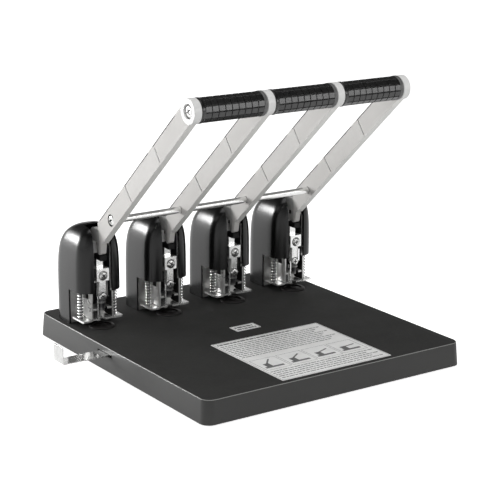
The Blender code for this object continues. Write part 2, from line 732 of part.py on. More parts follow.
def make_carriages(look):
    """The carriages: a bar with a clamp block, a pad under the lever's nose and a crosshead on the springs."""
    pad_top = LEVER_NOSE_Z - LEVER_NOSE_RADIUS - SEAT_GAP
    end = BAR_HALF_WIDTH
    tip = arc((PIN_SCREW_Z, 0.0), end, 270, 90, 2 * CORNER_STEPS)
    bar_outline = [*tip, (BLOCK_BOTTOM_Z + BITE, end), (BLOCK_BOTTOM_Z + BITE, -end)]
    bar = plate("ZX", bar_outline, BAR_FRONT_Y, BAR_BACK_Y)
    block = box(
        (-BLOCK_HALF_WIDTH, BLOCK_FRONT_Y, BLOCK_BOTTOM_Z), (BLOCK_HALF_WIDTH, BLOCK_BACK_Y, BLOCK_TOP_Z)
    )
    top_bar = box((-end, TOP_BAR_FRONT_Y, BLOCK_TOP_Z - BITE), (end, TOP_BAR_BACK_Y, TOP_BAR_TOP_Z + BITE))
    pad = box((-end, PAD_FRONT_Y, TOP_BAR_TOP_Z), (end, TOP_BAR_BACK_Y, pad_top))
    crosshead = box(
        (-CROSSHEAD_HALF_WIDTH, CROSSHEAD_FRONT_Y, CROSSHEAD_BOTTOM_Z),
        (CROSSHEAD_HALF_WIDTH, CROSSHEAD_BACK_Y, CROSSHEAD_BOTTOM_Z + CROSSHEAD_THICKNESS),
    )
    below = CROSSHEAD_BOTTOM_Z - OVERRUN
    above = CROSSHEAD_BOTTOM_Z + CROSSHEAD_THICKNESS + OVERRUN
    guide_holes = [
        cylinder("Z", GUIDE_RADIUS + CROSSHEAD_GUIDE_GAP, below, above, (side * GUIDE_X, GUIDE_Y), SMALL_SIDES)
        for side in (-1, 1)
    ]
    carriage = join(block, bar, top_bar, pad, cut(crosshead, *guide_holes))
    shank_top = collar_top() + PUNCH_SHANK_LENGTH + SEAT_GAP
    shank_bore = cylinder(
        "Z", PUNCH_SHANK_RADIUS + SCREW_HOLE_GAP, PIN_SCREW_Z - end - OVERRUN, shank_top, (0.0, 0.0), SMALL_SIDES
    )
    pin_hole = cylinder(
        "Y",
        PIN_SCREW_SHANK_RADIUS + SCREW_HOLE_GAP,
        BAR_FRONT_Y - OVERRUN,
        0.0,
        (PIN_SCREW_Z, 0.0),
        SMALL_SIDES,
    )
    clamp_hole = cylinder(
        "Y",
        CLAMP_SCREW_SHANK_RADIUS + SCREW_HOLE_GAP,
        BLOCK_FRONT_Y - OVERRUN,
        BLOCK_FRONT_Y + CLAMP_SCREW_SHANK_LENGTH,
        (CLAMP_SCREW_Z, 0.0),
        SMALL_SIDES,
    )
    carriage = cut(carriage, shank_bore, pin_hole, clamp_hole)
    place_copies(head_names("carriage"), carriage, look, head_places())


def collar_top():
    """The upper face of a punch's collar, just under the screw that holds the punch."""
    return PIN_SCREW_Z - PIN_SCREW_HEAD_RADIUS - SEAT_GAP


def make_punches(look):
    """The punches: a hollow cutting end, a collar, and a shank held in the carriage."""
    tip = DISC_TOP + SEAT_GAP + STROKE
    collar_bottom = collar_top() - PUNCH_COLLAR_THICKNESS
    profile = (
        (0.0, collar_top() + PUNCH_SHANK_LENGTH),
        (PUNCH_SHANK_RADIUS, collar_top() + PUNCH_SHANK_LENGTH),
        (PUNCH_SHANK_RADIUS, collar_top()),
        (PUNCH_COLLAR_RADIUS, collar_top()),
        (PUNCH_COLLAR_RADIUS, collar_bottom),
        (PUNCH_RADIUS, collar_bottom),
        (PUNCH_RADIUS, tip),
        (PUNCH_BORE_RADIUS, tip),
        (PUNCH_BORE_RADIUS, tip + PUNCH_BORE_DEPTH),
        (0.0, tip + PUNCH_BORE_DEPTH),
    )
    place_copies(head_names("punch_pin"), turned("Z", profile, (0.0, 0.0), ROUND_SIDES), look, head_places())


def screw(axis, head_radius, head_thickness, shank_radius, shank_length, face, height, inwards):
    """A screw on an axis: its head stands off the face, and its shank goes inwards, which is 1 or -1."""
    seat = face - inwards * SEAT_GAP
    outer = seat - inwards * head_thickness
    end = face + inwards * shank_length
    profile = [(0.0, outer), (head_radius, outer), (head_radius, seat), (shank_radius, seat)]
    profile += [(shank_radius, end), (0.0, end)]
    if inwards > 0:
        profile.reverse()
    return turned(axis, profile, height, ROUND_SIDES)


def make_carriage_screws(look):
    """The clamp screws and the screws that hold the punches."""
    clamp = screw(
        "Y",
        CLAMP_SCREW_HEAD_RADIUS,
        CLAMP_SCREW_HEAD_THICKNESS,
        CLAMP_SCREW_SHANK_RADIUS,
        CLAMP_SCREW_SHANK_LENGTH - SCREW_HOLE_GAP,
        BLOCK_FRONT_Y,
        (CLAMP_SCREW_Z, 0.0),
        1,
    )
    place_copies(head_names("clamp_screw"), clamp, look, head_places())
    shank_length = -BAR_FRONT_Y - PUNCH_SHANK_RADIUS - SCREW_HOLE_GAP
    holder = screw(
        "Y",
        PIN_SCREW_HEAD_RADIUS,
        PIN_SCREW_HEAD_THICKNESS,
        PIN_SCREW_SHANK_RADIUS,
        shank_length,
        BAR_FRONT_Y,
        (PIN_SCREW_Z, 0.0),
        1,
    )
    place_copies(head_names("set_screw"), holder, look, head_places())


def make_pivot_pins(look):
    """The pins that the lever arms turn on, held in the frames."""
    end = CHEEK_INNER_X + CHEEK_THICKNESS + PIVOT_PIN_END
    pin = cylinder("X", PIVOT_PIN_RADIUS, -end, end, (0.0, 0.0), ROUND_SIDES)
    places = [(x, PIVOT_Y, z + PIVOT_Z) for x, _, z in head_places()]
    place_copies(head_names("pivot_pin"), pin, look, places)


def from_pivot(y, z):
    """A point of the lever, moved to the lever's own origin on the pivot's axis."""
    return (y - PIVOT_Y, z - PIVOT_Z)


def arm_outline():
    """The wide bar of an arm, from its pointed lower end to the handle's hub."""
    start = Vector((ARM_START_Y, ARM_START_Z))
    hub = Vector((HUB_Y, HUB_Z))
    half = ARM_WIDTH / 2
    reach = (hub - start).length
    tilt = math.asin(half / reach)
    along = Matrix.Rotation(-tilt, 2) @ (hub - start).normalized()
    across = Vector((along.y, -along.x))
    if across.y > 0:
        across = -across
    far = start + along * (reach * math.cos(tilt))
    front = start + across * ARM_WIDTH
    heel = start + Vector((-ARM_HEEL_LENGTH * math.sin(tilt) * 4, -ARM_HEEL_LENGTH * math.cos(tilt)))
    tip = front - along * ARM_TIP_LENGTH
    return [from_pivot(*point) for point in (start, heel, tip, far + across * ARM_WIDTH, far)]


def lever_outline():
    """The thin lever plate: its nose on the carriage, its tail and the boss round the pivot."""
    nose = (LEVER_NOSE_Y, LEVER_NOSE_Z)
    boss = (PIVOT_Y, PIVOT_Z)
    outline = [(ARM_START_Y, ARM_START_Z - ARM_WIDTH / 4)]
    outline.append((ARM_START_Y - LEVER_NOSE_RADIUS * 2, LEVER_TAIL_Z - ARM_WIDTH / 4))
    outline += arc(nose, LEVER_NOSE_RADIUS, 180, 360, 2 * CORNER_STEPS)
    outline.append((nose[0] + LEVER_NOSE_RADIUS, LEVER_RECESS_Z))
    outline.append((LEVER_RECESS_Y, LEVER_RECESS_Z))
    outline += arc(boss, LEVER_BOSS_RADIUS, 210, 420, 4 * CORNER_STEPS)
    outline.append((LEVER_TAIL_Y, LEVER_TAIL_Z))
    return [from_pivot(*point) for point in outline]


def make_arm(index, look, parent):
    """One lever arm. The outer two hold the seats of the handle's and the cross rod's screws in their outer faces."""
    outer_side = {0: -1, HEAD_COUNT - 1: 1}.get(index, 0)
    hub = from_pivot(HUB_Y, HUB_Z)
    rod = from_pivot(CROSS_ROD_Y, CROSS_ROD_Z)
    boss = from_pivot(PIVOT_Y, PIVOT_Z)
    spacer_end = CHEEK_INNER_X - SLIDE_GAP
    arm = join(
        plate("YZ", arm_outline(), -ARM_HALF_THICKNESS, ARM_HALF_THICKNESS),
        plate("YZ", lever_outline(), -LEVER_PLATE_HALF_WIDTH, LEVER_PLATE_HALF_WIDTH),
        cylinder("X", LEVER_SPACER_RADIUS, -spacer_end, spacer_end, boss, ROUND_SIDES),
        cylinder("X", HUB_RADIUS, -HUB_HALF_WIDTH, HUB_HALF_WIDTH, hub, FINE_SIDES),
    )
    bore_start = -HUB_HALF_WIDTH - OVERRUN
    bore_end = HUB_HALF_WIDTH + OVERRUN
    wall = HUB_HALF_WIDTH - HANDLE_SCREW_SEAT_DEPTH
    tools = [
        cylinder(
            "X",
            HANDLE_RADIUS + SEAT_GAP,
            -wall if outer_side < 0 else bore_start,
            wall if outer_side > 0 else bore_end,
            hub,
            ROUND_SIDES,
        ),
        cylinder("X", CROSS_ROD_RADIUS + SEAT_GAP, bore_start, bore_end, rod, ROUND_SIDES),
        cylinder("X", PIVOT_PIN_RADIUS + SEAT_GAP, -spacer_end - OVERRUN, spacer_end + OVERRUN, boss, ROUND_SIDES),
    ]
    arm = cut(arm, *tools)
    if outer_side:
        face = ARM_HALF_THICKNESS - ROD_SCREW_SEAT_DEPTH
        seat_ends = sorted((outer_side * face, outer_side * bore_end))
        recess_ends = sorted((outer_side * (wall - BITE), outer_side * bore_end))
        arm = cut(
            arm,
            cylinder("X", ROD_SCREW_HEAD_RADIUS + SEAT_GAP, *seat_ends, rod, ROUND_SIDES),
            cylinder("X", HANDLE_SCREW_SEAT_RADIUS, *recess_ends, hub, ROUND_SIDES),
        )
    place_part(f"lever_arm_{index + 1}", arm, look, (head_x(index), 0.0, 0.0), parent)


def bar_with_bores(radius, half_length, bore_radius, bore_depth, centre, sides):
    """A round bar along X with a blind bore in each end."""
    bar = cylinder("X", radius, -half_length, half_length, centre, sides)
    inner = half_length - bore_depth
    outer = half_length + OVERRUN
    left = cylinder("X", bore_radius, -outer, -inner, centre, SMALL_SIDES)
    right = cylinder("X", bore_radius, inner, outer, centre, SMALL_SIDES)
    return cut(bar, left, right)


def make_cross_rod(look, screw_look, parent):
    """The rod that ties the four arms, and the screw in each of its ends."""
    end = head_x(HEAD_COUNT - 1) + ARM_HALF_THICKNESS - ROD_SCREW_SEAT_DEPTH
    centre = from_pivot(CROSS_ROD_Y, CROSS_ROD_Z)
    bore_radius = ROD_SCREW_SHANK_RADIUS + SCREW_HOLE_GAP
    rod = bar_with_bores(
        CROSS_ROD_RADIUS, end - SEAT_GAP, bore_radius, ROD_SCREW_SHANK_LENGTH, centre, ROUND_SIDES
    )
    place_part("cross_rod", rod, look, (0.0, 0.0, 0.0), parent)
    for side, word in ((-1, "left"), (1, "right")):
        fastener = screw(
            "X",
            ROD_SCREW_HEAD_RADIUS,
            ROD_SCREW_HEAD_THICKNESS,
            ROD_SCREW_SHANK_RADIUS,
            ROD_SCREW_SHANK_LENGTH - 2 * SEAT_GAP,
            side * end,
            centre,
            -side,
        )
        place_part(f"rod_screw_{word}", fastener, screw_look, (0.0, 0.0, 0.0), parent)


def make_handle(look, screw_look, parent):
    """The handle bar through the hubs, and the screw in each of its ends."""
    wall = head_x(HEAD_COUNT - 1) + HUB_HALF_WIDTH - HANDLE_SCREW_SEAT_DEPTH
    end = wall - SEAT_GAP
    centre = from_pivot(HUB_Y, HUB_Z)
    bore_radius = HANDLE_SCREW_SHANK_RADIUS + SCREW_HOLE_GAP
    bar = bar_with_bores(HANDLE_RADIUS, end, bore_radius, HANDLE_SCREW_SHANK_LENGTH, centre, ROUND_SIDES)
    place_part("handle_tube", bar, look, (0.0, 0.0, 0.0), parent)
    for side, word in ((-1, "left"), (1, "right")):
        fastener = screw(
            "X",
            HANDLE_SCREW_HEAD_RADIUS,
            HANDLE_SCREW_HEAD_THICKNESS,
            HANDLE_SCREW_SHANK_RADIUS,
            HANDLE_SCREW_SHANK_LENGTH - 2 * SEAT_GAP,
            side * end,
            centre,
            -side,
        )
        place_part(f"handle_screw_{word}", fastener, screw_look, (0.0, 0.0, 0.0), parent)


def make_grips(look, parent):
    """The grips, one in each space between the hubs."""
    end = HEAD_PITCH / 2 - HUB_HALF_WIDTH - SEAT_GAP
    bore = HANDLE_RADIUS + SEAT_GAP
    edge = GRIP_RADIUS - GRIP_CHAMFER
    profile = (
        (bore, end),
        (edge, end),
        (GRIP_RADIUS, end - GRIP_CHAMFER),
        (GRIP_RADIUS, GRIP_CHAMFER - end),
        (edge, -end),
        (bore, -end),
    )
    grip = turned("X", profile, from_pivot(HUB_Y, HUB_Z), FINE_SIDES, closed=True)
    names = [f"grip_{i + 1}" for i in range(HEAD_COUNT - 1)]
    places = [((head_x(i) + head_x(i + 1)) / 2, 0.0, 0.0) for i in range(HEAD_COUNT - 1)]
    place_copies(names, grip, look, places, parent)


def make_lever(arm_look, rod_look, grip_look, screw_look):
    """Everything that turns with the handle, under one empty on the pivot's axis."""
    pivot = bpy.data.objects.new("lever_pivot", None)
    pivot.location = (0.0, PIVOT_Y, BASE_TOP_Z + PIVOT_Z)
    bpy.data.collections["four_hole_punch"].objects.link(pivot)
    for index in range(HEAD_COUNT):
        make_arm(index, arm_look, pivot)
    make_cross_rod(rod_look, screw_look, pivot)
    make_handle(rod_look, screw_look, pivot)
    make_grips(grip_look, pivot)


def main():
    """Builds the punch."""
    for old in list(bpy.data.objects):
        bpy.data.objects.remove(old)
    collection("four_hole_punch")
    workpieces = collection("workpieces", hidden=True)
    shell = material("base_charcoal", (0.030, 0.030, 0.031), 0.45)
    rubber = material("bottom_black", (0.015, 0.015, 0.015), 0.80)
    gloss = material("cover_black", (0.008, 0.008, 0.009), 0.18)
    plated = material("plated_steel", (0.72, 0.73, 0.74), 0.22, 1.0)
    tool_steel = material("tool_steel", (0.030, 0.030, 0.032), 0.40, 0.6)
    disc_look = material("disc_black", (0.020, 0.020, 0.021), 0.50)
    painted = material("arm_silver", (0.62, 0.61, 0.60), 0.35, 0.2)
    grip_look = material("grip_black", (0.010, 0.010, 0.010), 0.30)
    make_base(shell)
    make_bottom_cover(rubber)
    make_gauge(plated)
    make_discs(disc_look)
    make_covers(gloss)
    make_frames(plated)
    make_foot_plates(plated)
    make_springs(plated)
    make_carriages(plated)
    make_punches(tool_steel)
    make_carriage_screws(plated)
    make_pivot_pins(plated)
    make_lever(painted, plated, grip_look, plated)
    bpy.data.collections.remove(workpieces)


main()
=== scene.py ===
"""Looks of the four-hole lever punch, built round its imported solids.

Metres, +Z up, in the frame of the solids: X runs along the row of heads and Y towards the back. A head's sizes are
counted from the foot of its punch's axis on the base's top.
"""

from __future__ import annotations

import logging
import math
from dataclasses import dataclass
from enum import Enum
from typing import Callable, Sequence

import bmesh
import bpy
from mathutils import Matrix, Vector

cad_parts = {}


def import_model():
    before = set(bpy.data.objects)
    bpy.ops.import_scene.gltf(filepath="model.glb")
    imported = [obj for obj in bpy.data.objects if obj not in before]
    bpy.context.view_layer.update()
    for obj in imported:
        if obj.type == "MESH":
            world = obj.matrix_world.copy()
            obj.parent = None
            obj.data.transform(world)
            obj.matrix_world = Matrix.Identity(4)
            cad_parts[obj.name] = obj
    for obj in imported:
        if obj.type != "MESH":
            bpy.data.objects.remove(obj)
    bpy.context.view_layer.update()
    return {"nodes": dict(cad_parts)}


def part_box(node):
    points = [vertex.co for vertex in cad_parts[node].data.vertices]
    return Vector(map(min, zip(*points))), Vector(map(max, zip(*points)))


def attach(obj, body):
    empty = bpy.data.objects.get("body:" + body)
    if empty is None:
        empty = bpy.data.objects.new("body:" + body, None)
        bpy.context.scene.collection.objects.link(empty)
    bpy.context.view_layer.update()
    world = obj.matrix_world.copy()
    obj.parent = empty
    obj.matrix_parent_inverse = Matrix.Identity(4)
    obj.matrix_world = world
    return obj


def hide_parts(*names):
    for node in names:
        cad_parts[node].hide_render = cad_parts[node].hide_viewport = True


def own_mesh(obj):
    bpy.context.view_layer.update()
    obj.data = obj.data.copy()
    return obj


LOG = logging.getLogger("four_hole_punch")
BASE_TOP_Z = 0.025
HEAD_XS = (-0.120, -0.040, 0.040, 0.120)
ROUND = 48
FINE = 72
WELD = 1e-6

Pair = tuple[float, float]
Triple = tuple[float, float, float]
Corner = tuple[float, float, float]


class Plane(Enum):
    """How a flat outline lies: its two directions, and then the direction of its thickness."""

    XY = ((1, 0, 0), (0, 1, 0), (0, 0, 1))
    YZ = ((0, 1, 0), (0, 0, 1), (1, 0, 0))
    XZ = ((1, 0, 0), (0, 0, 1), (0, 1, 0))

    def matrix(self) -> Matrix:
        """The turn from the outline's own directions to the model's."""
        return Matrix(self.value).transposed().to_4x4()


class Blank:
    """A mesh in the making, shaped with bmesh operators."""

    def __init__(self) -> None:
        """Starts with nothing in it."""
        self.bm = bmesh.new()

    @classmethod
    def block(cls, low: Triple, high: Triple) -> Blank:
        """A box.

        Args:
            low: Its lowest corner.
            high: Its highest corner.

        Returns:
            The box as a blank.
        """
        made = cls()
        bmesh.ops.create_cube(made.bm, size=1.0)
        bottom = Vector(low)
        top = Vector(high)
        bmesh.ops.scale(made.bm, vec=top - bottom, verts=made.bm.verts)
        bmesh.ops.translate(made.bm, vec=(top + bottom) / 2, verts=made.bm.verts)
        return made

    @classmethod
    def rod(cls, plane: Plane, radius: float, start: float, end: float, centre: Pair, sides: int = ROUND) -> Blank:
        """A straight round rod.

        Args:
            plane: The plane of its circle.
            radius: Its radius.
            start: Where it starts, across the plane.
            end: Where it ends, across the plane.
            centre: Its centre in the plane.
            sides: How many flats its round face has.

        Returns:
            The rod as a blank.
        """
        made = cls()
        bmesh.ops.create_cone(
            made.bm, cap_ends=True, segments=sides, radius1=radius, radius2=radius, depth=abs(end - start)
        )
        place = plane.matrix() @ Matrix.Translation((centre[0], centre[1], (start + end) / 2))
        bmesh.ops.transform(made.bm, matrix=place, verts=made.bm.verts)
        return made

    @classmethod
    def turned(cls, plane: Plane, profile: Sequence[Pair], centre: Pair, sides: int = ROUND) -> Blank:
        """A profile spun about the axis that stands on a plane.

        Args:
            plane: The plane that the axis stands on.
            profile: Points of the profile, each a radius and a height across the plane.
            centre: The axis's place in the plane.
            sides: How many steps the spin has.

        Returns:
            The turned body as a blank.
        """
        made = cls()
        points = [made.bm.verts.new((radius, 0.0, height)) for radius, height in profile]
        chain = [made.bm.edges.new(pair) for pair in zip(points, points[1:])]
        bmesh.ops.spin(
            made.bm,
            geom=points + chain,
            cent=(0.0, 0.0, 0.0),
            axis=(0.0, 0.0, 1.0),
            angle=math.tau,
            steps=sides,
            use_merge=True,
        )
        bmesh.ops.remove_doubles(made.bm, verts=made.bm.verts, dist=WELD)
        place = plane.matrix() @ Matrix.Translation((centre[0], centre[1], 0.0))
        bmesh.ops.transform(made.bm, matrix=place, verts=made.bm.verts)
        return made

    @classmethod
    def sheet(cls, plane: Plane, corners: Sequence[Corner], near: float, far: float, steps: int = 5) -> Blank:
        """A flat outline with rounded corners, given a thickness.

        Args:
            plane: The plane of the outline.
            corners: The outline's corners, each with the radius that rounds it.
            near: Where the thickness starts.
            far: Where the thickness ends.
            steps: How many flats each rounded corner has.

        Returns:
            The sheet as a blank.
        """
        made = cls()
        points = [made.bm.verts.new((first, second, near)) for first, second, _ in corners]
        face = made.bm.faces.new(points)
        grown = bmesh.ops.extrude_face_region(made.bm, geom=[face])
        risen = [item for item in grown["geom"] if isinstance(item, bmesh.types.BMVert)]
        bmesh.ops.translate(made.bm, vec=(0.0, 0.0, far - near), verts=risen)
        for index, (first, second, radius) in enumerate(corners):
            if radius:
                made._round_corner(corners, index, Vector((first, second)), radius, steps)
        bmesh.ops.transform(made.bm, matrix=plane.matrix(), verts=made.bm.verts)
        return made

    def _round_corner(self, corners: Sequence[Corner], index: int, here: Vector, radius: float, steps: int) -> None:
        """Rounds one upright edge of a sheet.

        Args:
            corners: The sheet's corners.
            index: Which corner is rounded.
            here: The corner's place.
            radius: Its radius.
            steps: How many flats it gets.
        """
        before = Vector(corners[index - 1][:2]) - here
        after = Vector(corners[(index + 1) % len(corners)][:2]) - here
        reach = radius / math.tan(before.angle(after) / 2)
        upright = [edge for edge in self.bm.edges if all((vert.co.xy - here).length < WELD for vert in edge.verts)]
        bmesh.ops.bevel(
            self.bm,
            geom=upright,
            offset=reach,
            offset_type="OFFSET",
            affect="EDGES",
            segments=steps,
            profile=0.5,
            material=-1,
        )

    def thing(self, name: str) -> bpy.types.Object:
        """An object that holds the blank's mesh, which the blank gives up.

        Args:
            name: The object's name.

        Returns:
            The object.
        """
        bmesh.ops.remove_doubles(self.bm, verts=self.bm.verts, dist=WELD)
        bmesh.ops.recalc_face_normals(self.bm, faces=self.bm.faces)
        mesh = bpy.data.meshes.new(name)
        self.bm.to_mesh(mesh)
        self.bm.free()
        made = bpy.data.objects.new(name, mesh)
        bpy.context.scene.collection.objects.link(made)
        return made

    def _combined(self, operation: str, tools: Sequence[Blank]) -> Blank:
        """The blank after a Boolean step with each tool.

        Args:
            operation: The name of the step, as Blender gives it.
            tools: The blanks that are joined to it or cut out of it.

        Returns:
            The new blank.
        """
        body = self.thing("blank")
        others = [tool.thing("tool") for tool in tools]
        for other in others:
            step = body.modifiers.new("step", "BOOLEAN")
            step.operation = operation
            step.solver = "EXACT"
            step.object = other
        return Blank._taken(body, others)

    @staticmethod
    def _taken(body: bpy.types.Object, others: Sequence[bpy.types.Object]) -> Blank:
        """A blank from an object as its modifiers leave it, and the working objects removed.

        Args:
            body: The object that is read.
            others: Other working objects to remove.

        Returns:
            The new blank.
        """
        graph = bpy.context.evaluated_depsgraph_get()
        mesh = bpy.data.meshes.new_from_object(body.evaluated_get(graph))
        made = Blank()
        made.bm.from_mesh(mesh)
        for used in (body, *others):
            bpy.data.objects.remove(used)
        bpy.data.meshes.remove(mesh)
        return made

    def cut(self, *tools: Blank) -> Blank:
        """The blank with the tools taken away."""
        return self._combined("DIFFERENCE", tools)

    def weld(self, *tools: Blank) -> Blank:
        """The blank with the tools joined to it."""
        return self._combined("UNION", tools)

    @staticmethod
    def joined(parts: Sequence[Blank]) -> Blank:
        """Several blanks as one, each left a body of its own."""
        made = Blank()
        for part in parts:
            mesh = bpy.data.meshes.new("part")
            part.bm.to_mesh(mesh)
            made.bm.from_mesh(mesh)
            part.bm.free()
            bpy.data.meshes.remove(mesh)
        return made

    def thickened(self, wall: float) -> Blank:
        """The skin given an even wall on its inner side."""
        bmesh.ops.recalc_face_normals(self.bm, faces=self.bm.faces)
        body = self.thing("skin")
        step = body.modifiers.new("wall", "SOLIDIFY")
        step.thickness = wall
        step.offset = -1.0
        step.use_even_offset = True
        return Blank._taken(body, ())

    def moved(self, x: float = 0.0, y: float = 0.0, z: float = 0.0) -> Blank:
        """A copy of the blank, moved."""
        made = Blank()
        made.bm.free()
        made.bm = self.bm.copy()
        bmesh.ops.translate(made.bm, vec=(x, y, z), verts=made.bm.verts)
        return made

    def split(self, point: Triple, normal: Triple) -> Blank:
        """Cuts edges into the blank along a plane."""
        bmesh.ops.bisect_plane(
            self.bm,
            geom=[*self.bm.verts, *self.bm.edges, *self.bm.faces],
            dist=WELD / 10,
            plane_co=point,
            plane_no=normal,
        )
        return self


@dataclass(frozen=True)
class Edge:
    """How a piece's sharp edges are broken."""

    radius: float = 0.0003
    steps: int = 2
    from_angle: float = 38.0


class Piece:
    """A finished piece: its mesh, its finish and the body that it rides on."""

    @staticmethod
    def finish(
        blank: Blank,
        name: str,
        look: Finish,
        body: str,
        edge: Edge | None = None,
        stands_for: str | None = None,
    ) -> bpy.types.Object:
        """Makes a blank a piece of the part.

        Args:
            blank: The piece's mesh.
            name: The piece's name.
            look: Its finish.
            body: The body that it rides on.
            edge: How its sharp edges are broken, if they are.
            stands_for: The solid that it is shown for, if there is one.

        Returns:
            The piece.
        """
        made = blank.thing(name)
        made.data.materials.append(look.material())
        made.data.shade_smooth()
        made.data.set_sharp_from_angle(angle=math.radians(edge.from_angle if edge else 38.0))
        if edge:
            step = made.modifiers.new("broken_edges", "BEVEL")
            step.width = edge.radius
            step.segments = edge.steps
            step.limit_method = "ANGLE"
            step.angle_limit = math.radians(edge.from_angle)
            step.use_clamp_overlap = True
            step.harden_normals = True
        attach(made, body)
        if stands_for:
            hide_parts(stands_for)
        LOG.info("%s: %d faces, on %s", name, len(made.data.polygons), body)
        return made

    @staticmethod
    def carried(solid: bpy.types.Object, look: Finish) -> None:
        """Gives a solid that is shown as it is its finish.

        Args:
            solid: The solid.
            look: Its finish.
        """
        solid.data.materials.clear()
        solid.data.materials.append(look.material())
        LOG.info("%s: a solid shown as it is", solid.name)

    @staticmethod
    def dress(made: bpy.types.Object, look: Finish, chosen: Callable[[bpy.types.MeshPolygon], bool]) -> None:
        """Gives some of a piece's faces a finish of their own.

        Args:
            made: The piece.
            look: The faces' finish.
            chosen: Says which faces get it.
        """
        made.data.materials.append(look.material())
        index = len(made.data.materials) - 1
        for face in made.data.polygons:
            if chosen(face):
                face.material_index = index


class Tree:
    """Adds nodes to a node tree and links them."""

    def __init__(self, tree: bpy.types.NodeTree) -> None:
        """Works on the given tree."""
        self.tree = tree

    def add(self, kind: str, inputs: dict | None = None, **settings: object) -> bpy.types.Node:
        """Adds a node.

        Args:
            kind: The node's type.
            inputs: Values or sockets for its inputs, by name or number.
            settings: Attributes of the node.

        Returns:
            The node.
        """
        node = self.tree.nodes.new(kind)
        for key, value in settings.items():
            setattr(node, key, value)
        for key, value in (inputs or {}).items():
            if isinstance(value, bpy.types.NodeSocket):
                self.tree.links.new(value, node.inputs[key])
            else:
                node.inputs[key].default_value = value
        return node

    def sum(self, operation: str, first: object, second: object = 0.0) -> bpy.types.NodeSocket:
        """The result of a Math node on two values or sockets."""
        return self.add("ShaderNodeMath", {0: first, 1: second}, operation=operation).outputs[0]

    def spread(self, value: object, low: float, high: float, to_low: object, to_high: object) -> bpy.types.NodeSocket:
        """A value moved from one range to another, and kept inside it."""
        inputs = {"Value": value, "From Min": low, "From Max": high, "To Min": to_low, "To Max": to_high}
        return self.add("ShaderNodeMapRange", inputs).outputs["Result"]

    def tint(self, share: object, first: object, second: object) -> bpy.types.NodeSocket:
        """A mix of two colours."""
        node = self.add("ShaderNodeMix", data_type="RGBA")
        for key, value in ((0, share), (6, first), (7, second)):
            if isinstance(value, bpy.types.NodeSocket):
                self.tree.links.new(value, node.inputs[key])
            else:
                node.inputs[key].default_value = value
        return node.outputs[2]


